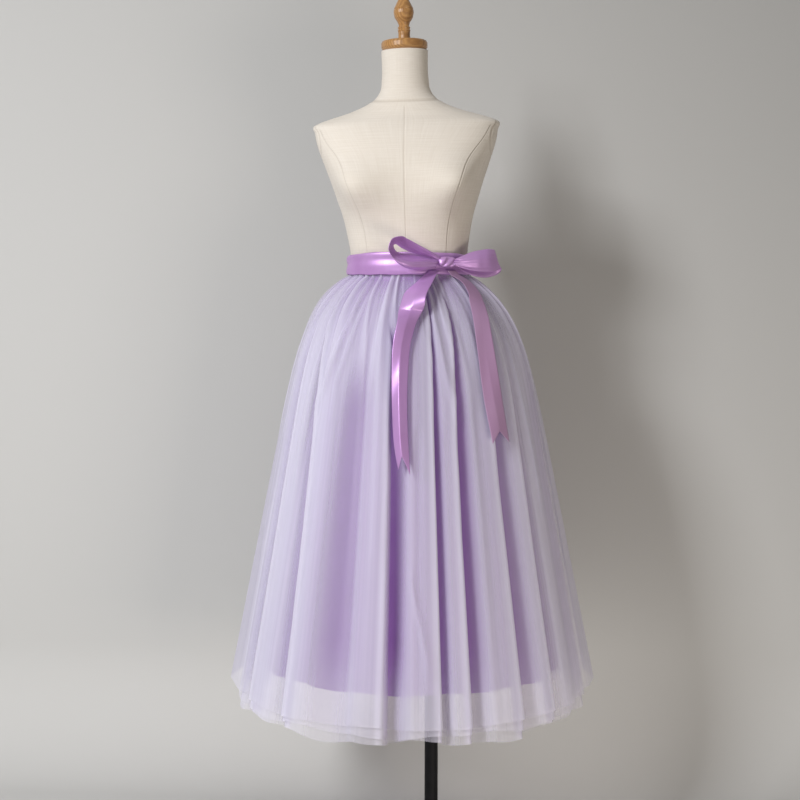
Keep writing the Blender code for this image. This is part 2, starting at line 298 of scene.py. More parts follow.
def new_effect(
    name: str, inputs: dict[str, float | None], outputs: list[str]
) -> tuple[Bench, bpy.types.Node, bpy.types.Node]:
    """Start a shared effect.

    Args:
        name: the group's name.
        inputs: its inputs with their starting values, None for a vector.
        outputs: its outputs, all numbers.

    Returns:
        The group's bench, its input node and its output node.
    """
    tree = bpy.data.node_groups.new(name, "ShaderNodeTree")
    for label, value in inputs.items():
        kind = "NodeSocketVector" if value is None else "NodeSocketFloat"
        socket = tree.interface.new_socket(label, in_out="INPUT", socket_type=kind)
        if value is not None:
            socket.default_value = value
    for label in outputs:
        tree.interface.new_socket(label, in_out="OUTPUT", socket_type="NodeSocketFloat")
    bench = Bench(tree)
    return bench, tree.nodes.new("NodeGroupInput"), tree.nodes.new("NodeGroupOutput")


@dataclass(frozen=True)
class Effects:
    """The effects that more than one finish uses, each built once."""

    weave: bpy.types.NodeTree
    streaks: bpy.types.NodeTree
    mottle: bpy.types.NodeTree

    @classmethod
    def build(cls) -> Effects:
        """Build the three groups."""
        return cls(cls.plain_weave(), cls.long_streaks(), cls.soft_mottle())

    @staticmethod
    def plain_weave() -> bpy.types.NodeTree:
        """Threads that cross, uneven as spun thread is; puts out their height.

        Returns:
            The group.
        """
        bench, given, result = new_effect(
            "plain_weave", {"Vector": None, "Threads": 900.0, "Slub": 0.3}, ["Height"]
        )
        tracks = []
        for way, seed in (("X", 1.7), ("Y", 6.3)):
            along = (1.0, 26.0, 1.0) if way == "X" else (26.0, 1.0, 1.0)
            place = bench.add("Mapping", {"Vector": given.outputs["Vector"], "Scale": along})
            shifted = bench.add(
                "Mapping", {"Vector": place.outputs[0], "Location": (seed, seed, 0.0)}
            )
            slub = bench.add(
                "TexNoise", {"Vector": shifted.outputs[0], "Scale": 14.0, "Detail": 2.0}
            )
            thick = bench.math("MULTIPLY", slub.outputs[0], given.outputs["Slub"])
            lines = bench.add(
                "TexWave",
                {"Vector": given.outputs["Vector"], "Scale": given.outputs["Threads"]},
                bands_direction=way,
            )
            tracks.append(bench.math("ADD", lines.outputs["Fac"], thick))
        both = bench.math("ADD", tracks[0], tracks[1])
        bench.wire(bench.math("MULTIPLY", both, 0.5), result.inputs["Height"])
        return bench.tree

    @staticmethod
    def long_streaks() -> bpy.types.NodeTree:
        """Soft lines that run down the cloth; puts out a value round one half.

        Returns:
            The group.
        """
        bench, given, result = new_effect(
            "long_streaks",
            {"Vector": None, "Lines": 120.0, "Runs": 2.0, "Seed": 0.0},
            ["Value"],
        )
        parts = bench.add("SeparateXYZ", {0: given.outputs["Vector"]})
        across = bench.math("MULTIPLY", parts.outputs[0], given.outputs["Lines"])
        along = bench.math("MULTIPLY", parts.outputs[1], given.outputs["Runs"])
        place = bench.add(
            "CombineXYZ", {0: across, 1: along, 2: given.outputs["Seed"]}
        )
        lines = bench.add(
            "TexNoise", {"Vector": place.outputs[0], "Scale": 1.0, "Detail": 3.0}
        )
        bench.wire(lines.outputs[0], result.inputs["Value"])
        return bench.tree

    @staticmethod
    def soft_mottle() -> bpy.types.NodeTree:
        """Slow uneven patches, as of dust, handling or dye; puts out 0 to 1.

        Returns:
            The group.
        """
        bench, given, result = new_effect(
            "soft_mottle", {"Vector": None, "Patches": 9.0, "Sharpness": 0.25}, ["Mask"]
        )
        patches = bench.add(
            "TexNoise",
            {"Vector": given.outputs["Vector"], "Scale": given.outputs["Patches"], "Detail": 5.0},
        )
        low = bench.math("SUBTRACT", 0.5, given.outputs["Sharpness"])
        high = bench.math("ADD", 0.5, given.outputs["Sharpness"])
        mask = bench.add("MapRange", {0: patches.outputs[0], 1: low, 2: high})
        bench.wire(mask.outputs[0], result.inputs["Mask"])
        return bench.tree


def new_material(name: str) -> tuple[bpy.types.Material, Bench, bpy.types.Node]:
    """A material with its bench and its Principled shader.

    Args:
        name: the material's name.

    Returns:
        The material, its bench and its shader.
    """
    made = bpy.data.materials.new(name)
    made.use_nodes = True
    return made, Bench(made.node_tree), made.node_tree.nodes["Principled BSDF"]


@dataclass(frozen=True)
class LinenFinish:
    """Unbleached linen stretched over the form: an uneven plain weave with slubs."""

    light: Colour = (0.88, 0.82, 0.74)
    dark: Colour = (0.77, 0.70, 0.61)
    threads: float = 330.0

    def material(self, effects: Effects) -> bpy.types.Material:
        """Wire the linen.

        Args:
            effects: the shared groups.

        Returns:
            The material.
        """
        made, bench, shader = new_material("form_linen")
        flat = bench.add("UVMap", uv_map="flat_cloth").outputs[0]
        place = bench.add("TexCoord").outputs["Object"]
        weave = bench.group(effects.weave, Vector=flat, Threads=self.threads, Slub=0.9)
        down = bench.group(effects.streaks, Vector=flat, Lines=420.0, Runs=16.0, Seed=2.0)
        over = bench.group(effects.streaks, Vector=flat, Lines=14.0, Runs=520.0, Seed=7.0)
        patch = bench.group(effects.mottle, Vector=place, Patches=7.0, Sharpness=0.3)
        slubs = bench.math("ADD", down.outputs[0], over.outputs[0])
        thread = bench.spread(slubs, 0.55, 1.45, 0.0, 1.0)
        seam = bench.add("Attribute", attribute_name="seam").outputs["Fac"]
        base = bench.tint(thread, self.dark, self.light)
        aged = bench.tint(
            bench.math("MULTIPLY", patch.outputs[0], 0.16), base, (0.72, 0.63, 0.52)
        )
        stitched = bench.tint(bench.math("MULTIPLY", seam, 0.34), aged, (0.42, 0.35, 0.27))
        bench.wire(stitched, shader.inputs["Base Color"])
        height = bench.math("ADD", weave.outputs[0], bench.math("MULTIPLY", slubs, 1.6))
        bump = bench.add("Bump", {"Strength": 0.25, "Distance": 0.0005, "Height": height})
        bench.wire(bump.outputs[0], shader.inputs["Normal"])
        rough = bench.spread(thread, 0.0, 1.0, 0.95, 0.82)
        bench.wire(rough, shader.inputs["Roughness"])
        shader.inputs["Specular IOR Level"].default_value = 0.25
        shader.inputs["Sheen Weight"].default_value = 0.15
        return made


@dataclass(frozen=True)
class TulleFinish:
    """Fine pale net: seen through face on, whiter where it turns edge on or doubles.
    Its colour is painted darker and more purple in the troughs and between the top pleats, as
    shade.
    """

    name: str
    crest: Colour = (0.83, 0.80, 0.945)
    # the valley colour is painted shade: the net's colour in troughs and between the top pleats,
    # darker and more purple where shade falls
    valley_shade: Colour = (0.56, 0.44, 0.70)
    cover_crest: float = 0.28
    cover_valley: float = 0.02
    gathered: float = 0.20
    seed: float = 0.0

    def material(self, effects: Effects) -> bpy.types.Material:
        """Wire the net: the cover of one ply grows as the line of sight gets flatter.

        Args:
            effects: the shared groups.

        Returns:
            The material.
        """
        made, bench, shader = new_material(self.name)
        flat = bench.add("UVMap", uv_map="flat_cloth").outputs[0]
        crest = bench.add("Attribute", attribute_name="crest").outputs["Fac"]
        pleat = bench.add("Attribute", attribute_name="pleat").outputs["Fac"]
        fine = bench.group(
            effects.streaks, Vector=flat, Lines=95.0, Runs=1.3, Seed=self.seed
        ).outputs[0]
        broad = bench.group(
            effects.streaks, Vector=flat, Lines=17.0, Runs=1.1, Seed=self.seed + 9.0
        ).outputs[0]
        net = bench.group(effects.weave, Vector=flat, Threads=900.0, Slub=0.2).outputs[0]
        streak = bench.spread(
            bench.math(
                "ADD", bench.math("MULTIPLY", fine, 0.55), bench.math("MULTIPLY", broad, 0.45)
            ),
            0.34, 0.66, 0.88, 1.12,
        )
        plain = bench.blend(crest, self.cover_valley, self.cover_crest)
        folded = bench.math("ADD", plain, bench.math("MULTIPLY", pleat, self.gathered))
        cover = bench.math("MINIMUM", bench.math("MULTIPLY", folded, streak), 0.9)
        edge_on = bench.add("LayerWeight", {"Blend": 0.5}).outputs["Facing"]
        level = bench.math("MAXIMUM", bench.math("SUBTRACT", 1.0, edge_on), 0.42)
        clear = bench.math(
            "POWER", bench.math("SUBTRACT", 1.0, cover), bench.math("DIVIDE", 1.0, level)
        )
        bench.wire(bench.math("SUBTRACT", 1.0, clear, clamp=True), shader.inputs["Alpha"])
        # painted shade: the colour runs from the shade colour where the crest mark is low (troughs,
        # between the top pleats) to the pale net colour on crests
        colour = bench.tint(crest, self.valley_shade, self.crest)
        bench.wire(colour, shader.inputs["Base Color"])
        lines = bench.math(
            "ADD", bench.math("MULTIPLY", fine, 0.6), bench.math("MULTIPLY", net, 0.06)
        )
        bump = bench.add("Bump", {"Strength": 0.4, "Distance": 0.0030, "Height": lines})
        bench.wire(bump.outputs[0], shader.inputs["Normal"])
        rough = bench.spread(fine, 0.3, 0.7, 0.62, 0.80)
        bench.wire(rough, shader.inputs["Roughness"])
        shader.inputs["Specular IOR Level"].default_value = 0.30
        shader.inputs["Sheen Weight"].default_value = 0.35
        shader.inputs["Sheen Roughness"].default_value = 0.4
        shader.inputs["Sheen Tint"].default_value = (0.93, 0.91, 1.0, 1.0)
        return made


@dataclass(frozen=True)
class SatinFinish:
    """Satin: a close float weave that shines across its threads, and small dents."""

    name: str
    light: Colour
    dark: Colour
    gloss: float = 0.30
    sheen: float = 0.25
    metal: float = 0.0
    dents: float = 0.0010
    lines: float = 900.0

    def material(self, effects: Effects) -> bpy.types.Material:
        """Wire the satin.

        Args:
            effects: the shared groups.

        Returns:
            The material.
        """
        made, bench, shader = new_material(self.name)
        flat = bench.add("UVMap", uv_map="flat_cloth").outputs[0]
        place = bench.add("TexCoord").outputs["Object"]
        floats = bench.group(effects.streaks, Vector=flat, Lines=self.lines, Runs=60.0, Seed=4.0)
        dent = bench.group(effects.streaks, Vector=flat, Lines=38.0, Runs=9.0, Seed=5.0)
        patch = bench.group(effects.mottle, Vector=place, Patches=16.0, Sharpness=0.28)
        tone = bench.math(
            "ADD",
            bench.math("MULTIPLY", patch.outputs[0], 0.45),
            bench.math("MULTIPLY", dent.outputs[0], 0.55),
        )
        bench.wire(bench.tint(tone, self.dark, self.light), shader.inputs["Base Color"])
        fine = bench.add(
            "Bump", {"Strength": 0.25, "Distance": 0.0002, "Height": floats.outputs[0]}
        )
        bump = bench.add(
            "Bump",
            {
                "Strength": 0.6,
                "Distance": self.dents,
                "Height": dent.outputs[0],
                "Normal": fine.outputs[0],
            },
        )
        bench.wire(bump.outputs[0], shader.inputs["Normal"])
        rough = bench.spread(floats.outputs[0], 0.3, 0.7, self.gloss - 0.05, self.gloss + 0.10)
        bench.wire(rough, shader.inputs["Roughness"])
        shader.inputs["Metallic"].default_value = self.metal
        shader.inputs["Specular IOR Level"].default_value = 0.65
        shader.inputs["Sheen Weight"].default_value = self.sheen
        shader.inputs["Sheen Roughness"].default_value = 0.35
        return made


@dataclass(frozen=True)
class WoodFinish:
    """Turned and oiled wood: growth rings about the axis, fine pores and turning lines."""

    light: Colour = (0.62, 0.33, 0.11)
    dark: Colour = (0.30, 0.13, 0.035)

    def material(self, effects: Effects) -> bpy.types.Material:
        """Wire the wood.

        Args:
            effects: the shared groups.

        Returns:
            The material.
        """
        made, bench, shader = new_material("oiled_wood")
        place = bench.add("TexCoord").outputs["Object"]
        tilted = bench.add(
            "Mapping",
            {"Vector": place, "Location": (0.03, 0.02, 0.0), "Rotation": (0.16, 0.10, 0.0)},
        ).outputs[0]
        rings = bench.add(
            "TexWave",
            {
                "Vector": tilted, "Scale": 62.0, "Distortion": 3.2,
                "Detail": 3.0, "Detail Scale": 1.6,
            },
            wave_type="RINGS",
            rings_direction="Z",
        ).outputs["Fac"]
        fibres = bench.add(
            "TexNoise",
            {
                "Vector": bench.add(
                    "Mapping", {"Vector": tilted, "Scale": (900.0, 900.0, 45.0)}
                ).outputs[0],
                "Scale": 1.0,
                "Detail": 4.0,
            },
        ).outputs[0]
        turned = bench.add(
            "TexWave", {"Vector": place, "Scale": 380.0, "Distortion": 0.6}, bands_direction="Z"
        ).outputs["Fac"]
        dust = bench.group(effects.mottle, Vector=place, Patches=40.0, Sharpness=0.2).outputs[0]
        grain = bench.math(
            "ADD", bench.math("MULTIPLY", rings, 0.55), bench.math("MULTIPLY", fibres, 0.45)
        )
        bare = bench.tint(grain, self.dark, self.light)
        worn = bench.tint(bench.math("MULTIPLY", dust, 0.25), bare, (0.52, 0.30, 0.13))
        bench.wire(worn, shader.inputs["Base Color"])
        height = bench.math(
            "ADD", bench.math("MULTIPLY", fibres, 0.5), bench.math("MULTIPLY", turned, 0.2)
        )
        bump = bench.add("Bump", {"Strength": 0.3, "Distance": 0.0004, "Height": height})
        bench.wire(bump.outputs[0], shader.inputs["Normal"])
        bench.wire(bench.spread(grain, 0.0, 1.0, 0.46, 0.32), shader.inputs["Roughness"])
        shader.inputs["Coat Weight"].default_value = 0.35
        shader.inputs["Coat Roughness"].default_value = 0.25
        return made


@dataclass(frozen=True)
class SteelFinish:
    """Black powder-coated steel with a fine orange peel and faint scuffs."""

    paint: Colour = (0.004, 0.004, 0.005)
    scuffed: Colour = (0.020, 0.020, 0.022)

    def material(self, effects: Effects) -> bpy.types.Material:
        """Wire the painted steel.

        Args:
            effects: the shared groups.

        Returns:
            The material.
        """
        made, bench, shader = new_material("black_powder_coat")
        place = bench.add("TexCoord").outputs["Object"]
        scuffs = bench.group(effects.mottle, Vector=place, Patches=26.0, Sharpness=0.12).outputs[0]
        peel = bench.add("TexNoise", {"Vector": place, "Scale": 900.0, "Detail": 2.0}).outputs[0]
        marked = bench.math("MULTIPLY", scuffs, 0.35)
        bench.wire(bench.tint(marked, self.paint, self.scuffed), shader.inputs["Base Color"])
        bump = bench.add("Bump", {"Strength": 0.22, "Distance": 0.0003, "Height": peel})
        bench.wire(bump.outputs[0], shader.inputs["Normal"])
        bench.wire(bench.spread(scuffs, 0.0, 1.0, 0.46, 0.62), shader.inputs["Roughness"])
        shader.inputs["Specular IOR Level"].default_value = 0.25
        return made


# ---------------------------------------------------------------- camera, lights and stage
@dataclass(frozen=True)
class AreaLight:
    """One soft window or panel of light."""

    name: str
    place: Colour
    aim: Colour
    wide: float
    tall: float
    power: float
    colour: Colour
    spread: float

    def build(self) -> None:
        """Hang the light and turn it to its aim."""
        lamp = bpy.data.lights.new(self.name, "AREA")
        lamp.shape = "RECTANGLE"
        lamp.size, lamp.size_y = self.wide, self.tall
        lamp.energy, lamp.color = self.power, self.colour
        lamp.spread = radians(self.spread)
        made = bpy.data.objects.new(self.name, lamp)
        made.location = self.place
        way = Vector(self.aim) - Vector(self.place)
        made.rotation_euler = way.to_track_quat("-Z", "Y").to_euler()
        made.visible_camera = False
        bpy.context.scene.collection.objects.link(made)


@dataclass
class Studio:
    """The camera, a pale floor that sweeps up into a wall, and soft window light."""

    camera_place: Colour = (0.16918, -2.96233, 1.150)
    camera_pitch: float = radians(85.2)
    camera_turn: float = radians(4.5)
    lens: float = 66.825
    floor_front: float = -5.0
    wall_at: float = 0.47
    wall_top: float = 4.2
    half_width: float = 5.0
    sweep: float = 0.275
    ambient: float = 0.21
    lights: tuple[AreaLight, ...] = (
        AreaLight(
            "window", (-2.05, -2.9, 2.8), (-0.9, 0.47, 0.4),
            0.9, 1.2, 45.0, (0.97, 0.98, 1.0), 100.0,
        ),
        AreaLight(
            "fill", (1.2, -2.1, 0.2), (0.2, 0.0, 0.30),
            1.0, 0.8, 9.0, (1.0, 0.91, 0.81), 110.0,
        ),
        AreaLight(
            "bounce", (0.22, 0.08, 0.13), (0.24, 0.47, 0.15),
            0.6, 0.12, 0.45, (1.0, 0.97, 0.94), 150.0,
        ),
    )

    def build(self) -> None:
        """Set up everything that isn't part of the object."""
        self.place_camera()
        for light in self.lights:
            light.build()
        self.fill_room()
        self.build_sweep()

    def place_camera(self) -> None:
        """Stand the camera at waist height, a little to the right, looking slightly down."""
        scene = bpy.context.scene
        lens = bpy.data.cameras.new("camera")
        lens.lens, lens.sensor_width = self.lens, 36.0
        made = bpy.data.objects.new("camera", lens)
        made.location = self.camera_place
        made.rotation_euler = (self.camera_pitch, 0.0, self.camera_turn)
        scene.collection.objects.link(made)
        scene.camera = made
        scene.view_settings.view_transform = "Standard"
        scene.cycles.transparent_max_bounces = 40

    def fill_room(self) -> None:
        """Even light from all round."""
        world = bpy.data.worlds.new("room")
        world.use_nodes = True
        sky = world.node_tree.nodes["Background"]
        sky.inputs["Color"].default_value = (1.0, 0.965, 0.92, 1.0)
        sky.inputs["Strength"].default_value = self.ambient
        bpy.context.scene.world = world

    def build_sweep(self) -> None:
        """The floor and wall in one sheet, unseen from behind."""
        profile = [(self.floor_front, 0.0)]
        start = self.wall_at - self.sweep
        for k in range(25):
            turn = pi / 2 * k / 24
            profile.append((start + self.sweep * sin(turn), self.sweep * (1.0 - cos(turn))))
        profile.append((self.wall_at, self.wall_top))
        rows = [
            [(-self.half_width, y, z - 0.0006), (self.half_width, y, z - 0.0006)]
            for y, z in reversed(profile)
        ]
        points = np.array(rows)
        flat = grid_uv(np.arange(len(rows), dtype=float), np.array([0.0, 1.0]))
        made = mesh_of_rows("sweep", points, flat, tube=False)
        made.data.materials.append(self.wall_paint())

    def wall_paint(self) -> bpy.types.Material:
        """Matt grey paint, clear from behind so that it hides nothing.

        Returns:
            The material.
        """
        made, bench, shader = new_material("stage_paint")
        shader.inputs["Base Color"].default_value = (0.55, 0.545, 0.53, 1.0)
        shader.inputs["Roughness"].default_value = 0.95
        shader.inputs["Specular IOR Level"].default_value = 0.1
        behind = bench.add("NewGeometry").outputs["Backfacing"]
        clear = bench.add("BsdfTransparent").outputs[0]
        both = bench.add("MixShader", {0: behind, 1: shader.outputs[0], 2: clear})
        bench.wire(both.outputs[0], made.node_tree.nodes["Material Output"].inputs["Surface"])
        return made


# ---------------------------------------------------------------- the dress form
@dataclass(frozen=True)
class Section:
    """One level of the form: rise above the waist, half width, reaches and corner power."""

    rise: float
    half: float
    front: float
    back: float
    square: float


FORM_SECTIONS = [
    Section(-0.215, 0.1500, 0.100, 0.112, 2.2),
    Section(-0.160, 0.1540, 0.103, 0.114, 2.2),
    Section(-0.100, 0.1440, 0.098, 0.104, 2.2),
    Section(-0.045, 0.1250, 0.088, 0.090, 2.0),
    Section(-0.011, 0.1148, 0.082, 0.082, 2.0),
    Section(0.045, 0.1162, 0.083, 0.083, 2.0),
    Section(0.085, 0.1225, 0.088, 0.087, 2.1),
    Section(0.120, 0.1300, 0.093, 0.091, 2.2),
    Section(0.150, 0.1395, 0.098, 0.095, 2.2),
    Section(0.180, 0.1490, 0.101, 0.098, 2.3),
    Section(0.208, 0.1588, 0.101, 0.099, 2.4),
    Section(0.235, 0.1685, 0.096, 0.098, 2.5),
    Section(0.260, 0.1765, 0.088, 0.095, 2.6),
    Section(0.282, 0.1805, 0.078, 0.089, 2.5),
    Section(0.299, 0.1810, 0.067, 0.079, 2.3),
    Section(0.309, 0.1560, 0.059, 0.070, 2.1),
    Section(0.320, 0.1180, 0.053, 0.062, 2.0),
    Section(0.333, 0.0840, 0.048, 0.055, 2.0),
    Section(0.346, 0.0620, 0.045, 0.050, 2.0),
    Section(0.362, 0.0500, 0.043, 0.047, 2.0),
    Section(0.385, 0.0462, 0.042, 0.045, 2.0),
    Section(0.4400, 0.0458, 0.042, 0.044, 2.0),
]


@dataclass(frozen=True)
class SeamStation:
    """Where a princess seam runs at one rise, in degrees from the front."""

    rise: float
    azimuth: float


PRINCESS = [
    SeamStation(-0.215, 40.0), SeamStation(-0.05, 41.0), SeamStation(0.03, 42.0),
    SeamStation(0.10, 40.0), SeamStation(0.17, 39.0), SeamStation(0.22, 44.0),
    SeamStation(0.26, 53.0), SeamStation(0.30, 64.0), SeamStation(0.44, 64.0),
]


@dataclass
class DressForm:
    """The padded form in its linen cover, with its sewn seams and arm plates."""

    sections: list[Section] = field(default_factory=lambda: FORM_SECTIONS)
    bust_rise: float = 0.172
    bust_azimuth: float = 37.0
    bust_reach: float = 0.034
    bust_tall: float = 0.047
    bust_wide: float = 21.0
    row_low: float = 0.0060
    row_high: float = 0.0024
    panel_columns: int = 38
    seam_deep: float = 0.0010
    seam_lip: float = 0.00035
    neck_seam_rise: float = 0.352
    neck_seam_dip: float = 0.014
    plate_rise: float = 0.268
    plate_tall: float = 0.038
    plate_wide: float = 27.0
    finish: LinenFinish = LinenFinish()

    def columns(self, rise: Array) -> tuple[Array, Array, Array]:
        """Azimuths of every column, which keep to the seams.

        Args:
            rise: rows, as a column of rises.

        Returns:
            Azimuths (rows by columns, degrees), each column's seam distance (1 on a seam
            line, 0.5 on its lip, 0 elsewhere) and the number of the seam it belongs to.
        """
        princess = eased(rise, column(PRINCESS, "rise"), column(PRINCESS, "azimuth"))
        ones = np.ones_like(rise)
        keys = [
            -180 * ones, -138 * ones, -90 * ones, -princess, 0.5 * ones,
            princess, 90 * ones, 138 * ones, 180 * ones,
        ]
        lip, edge = 0.55, 1.5
        azimuths, kinds, seams = [], [], []
        for number, (here, after) in enumerate(zip(keys, keys[1:])):
            azimuths += [here, here + lip, here + edge]
            kinds += [1.0, 0.5, 0.0]
            seams += [number, number, number]
            for k in range(1, self.panel_columns):
                share = k / self.panel_columns
                azimuths.append(here + edge + (after - here - 2 * edge) * share)
                kinds.append(0.0)
                seams.append(number)
            azimuths += [after - edge, after - lip]
            kinds += [0.0, 0.5]
            seams += [number + 1, number + 1]
        return np.concatenate(azimuths, axis=1), np.array(kinds), np.array(seams) % 8

    def surface(self, rise: Array, azimuth: Array) -> Array:
        """Points of the form's skin: rounded ovals, fuller where the bust is.

        Args:
            rise: heights above the waist.
            azimuth: degrees round from the front.

        Returns:
            The points.
        """
        rises = column(self.sections, "rise")
        half, front, back, square = (
            eased(rise, rises, column(self.sections, part))
            for part in ("half", "front", "back", "square")
        )
        turn = np.radians(azimuth)
        across, along = np.sin(turn), np.cos(turn)
        reach = np.where(along > 0, front, back)
        scale = (np.abs(across) ** square + np.abs(along) ** square) ** (-1.0 / square)
        x, y = half * scale * across, -reach * scale * along
        for side in (-1, 1):
            swell = self.bust_reach * hump(rise - self.bust_rise, self.bust_tall) * hump(
                azimuth - side * self.bust_azimuth, self.bust_wide
            )
            x, y = x + 0.35 * side * swell, y - swell
        return np.stack([x, y, rise + 0 * x], axis=-1)

    def sewn(self, rise: Array, azimuth: Array, kinds: Array, seams: Array) -> Array:
        """How deep each point lies in a seam, 1 on its line and below 0 on its lips.

        Args:
            rise: heights above the waist.
            azimuth: degrees round from the front.
            kinds: 1 on a seam's line, 0.5 on its lips, 0 elsewhere, for each column.
            seams: the number of the seam by each column.

        Returns:
            The depths.
        """
        low = smooth((np.where(seams == 4, 0.345, 0.292) - rise) / 0.008)
        shoulder = smooth((rise - 0.306) / 0.004) * smooth((0.350 - rise) / 0.004)
        side = np.isin(seams, (2, 6))
        gate = np.where(side, np.maximum(smooth((0.225 - rise) / 0.006), shoulder), low)
        lips = self.seam_lip / self.seam_deep
        found = gate * np.where(kinds == 1.0, 1.0, np.where(kinds == 0.5, -lips, 0.0))
        neck = (rise - self.neck_seam_rise) / 0.0024
        found = found + np.exp(-(neck**2)) * 1.1 - 0.4 * np.exp(-((np.abs(neck) - 2.0) ** 2))
        plate = np.hypot(
            (np.abs(azimuth) - 90.0) / self.plate_wide, (rise - self.plate_rise) / self.plate_tall
        )
        ring = (plate - 1.0) / 0.050
        return found + 0.9 * np.exp(-(ring**2)) - 0.35 * np.exp(-((np.abs(ring) - 2.0) ** 2))

    def build(self, effects: Effects) -> None:
        """Make the covered form.

        Args:
            effects: the shared groups.
        """
        top, low = self.sections[-1].rise, self.sections[0].rise
        fine = np.arange(top, -0.004, -self.row_high)
        rise = np.concatenate([fine, np.arange(-0.006, low, -self.row_low), [low]])[:, None]
        azimuth, kinds, seams = self.columns(rise)
        level = rise + 0 * azimuth
        sewn = self.sewn(level, azimuth, kinds, seams)
        dip = self.neck_seam_dip * 0.5 * (1 + np.cos(np.radians(azimuth)))
        level = level - dip * np.exp(-(((level - self.neck_seam_rise) / 0.035) ** 2))
        points = self.surface(level, azimuth)
        middle = np.array([0.0, 0.0, 1.0])
        out = points * (1.0 - middle)
        out /= np.maximum(np.linalg.norm(out, axis=-1, keepdims=True), 1e-6)
        points = points - out * (sewn * self.seam_deep)[..., None]
        lean = np.array(Matrix.Rotation(-FORM_LEAN, 3, "Y"))
        points = np.where(points[..., 2:] > 0, points @ lean.T, points) + np.array(WAIST)
        cols = np.concatenate([azimuth[0], [180.0]]) * 0.0021
        made = mesh_of_rows(
            "form_cover",
            points,
            grid_uv(-rise[:, 0], cols),
            tube=True,
            marks={"seam": np.clip(sewn, 0, 1)},
        )
        self.close_ends(made)
        made.data.materials.append(self.finish.material(effects))
        declare(made, ["form_body"])

    def close_ends(self, made: bpy.types.Object) -> None:
        """Cover the top of the neck and the underside of the hips.

        Args:
            made: the cover.
        """
        bpy.ops.object.select_all(action="DESELECT")
        made.select_set(True)
        bpy.context.view_layer.objects.active = made
        bpy.ops.object.mode_set(mode="EDIT")
        bpy.ops.mesh.select_all(action="SELECT")
        bpy.ops.mesh.region_to_loop()
        bpy.ops.mesh.fill_holes(sides=0)
        bpy.ops.object.mode_set(mode="OBJECT")
        made.select_set(False)


# ---------------------------------------------------------------- the skirt's own form
@dataclass(frozen=True)
class Trough:
    """A gap between two flutes.

    azimuth and spread are in degrees, depth is in metres at the hem, lean is how many
    degrees a flute hangs over it (plus for the flute on its -X side) and leaves that side
    steep, opens is the drop below the waist at which it starts, bare is how thin the
    tulle lies in it and how much painted shade darkens the net's colour there, and wander
    is how many degrees further round it is at the waist.
    """

    azimuth: float
    spread: float
    depth: float
    lean: float
    opens: float
    bare: float
    wander: float


TROUGHS = [
    Trough(-98.0, 4.6, 0.020, -1.5, 0.10, 0.40, 3.0),
    Trough(-60.0, 3.2, 0.020, -2.0, 0.05, 0.35, -4.0),
    Trough(-40.0, 3.2, 0.013, -2.6, 0.02, 0.22, -15.0),
    Trough(-22.5, 6.5, 0.019, 0.0, 0.12, 0.50, 4.0),
    Trough(-3.2, 4.2, 0.036, 2.2, 0.08, 1.00, -5.0),
    Trough(13.2, 2.4, 0.034, 1.8, 0.005, 1.00, 0.6),
    Trough(23.4, 3.6, 0.036, 1.9, 0.01, 1.00, 3.5),
    Trough(41.8, 4.4, 0.026, 2.0, 0.06, 0.62, 2.5),
    Trough(54.5, 3.0, 0.014, 1.6, 0.08, 0.32, 2.0),
    Trough(72.0, 5.0, 0.010, 0.0, 0.12, 0.25, 4.0),
    Trough(103.0, 3.4, 0.024, 2.0, 0.05, 0.50, -3.0),
    Trough(116.0, 3.4, 0.032, 2.2, 0.03, 1.00, -4.0),
    Trough(130.0, 6.0, 0.018, 0.0, 0.14, 0.55, 5.0),
    Trough(147.0, 3.0, 0.030, -2.0, 0.02, 0.85, 3.0),
    Trough(157.0, 3.4, 0.016, -1.8, 0.06, 0.35, -6.0),
    Trough(174.0, 4.6, 0.034, 2.0, 0.03, 1.00, 4.0),
    Trough(189.0, 2.8, 0.026, 2.0, 0.01, 0.70, -3.0),
    Trough(205.0, 6.4, 0.019, 0.0, 0.13, 0.60, 3.0),
    Trough(220.0, 3.2, 0.034, -2.2, 0.02, 1.00, -5.0),
    Trough(233.0, 4.8, 0.018, 1.6, 0.08, 0.40, 6.0),
    Trough(250.0, 3.0, 0.024, -1.8, 0.03, 0.70, 2.0),
    Trough(263.0, 4.2, 0.028, -2.0, 0.08, 0.60, -4.0),
]


@dataclass(frozen=True)
class Crease:
    """A listed fold: from one azimuth and drop to another, its height and width."""

    azimuth: float
    drop: float
    to_azimuth: float
    to_drop: float
    height: float
    width: float


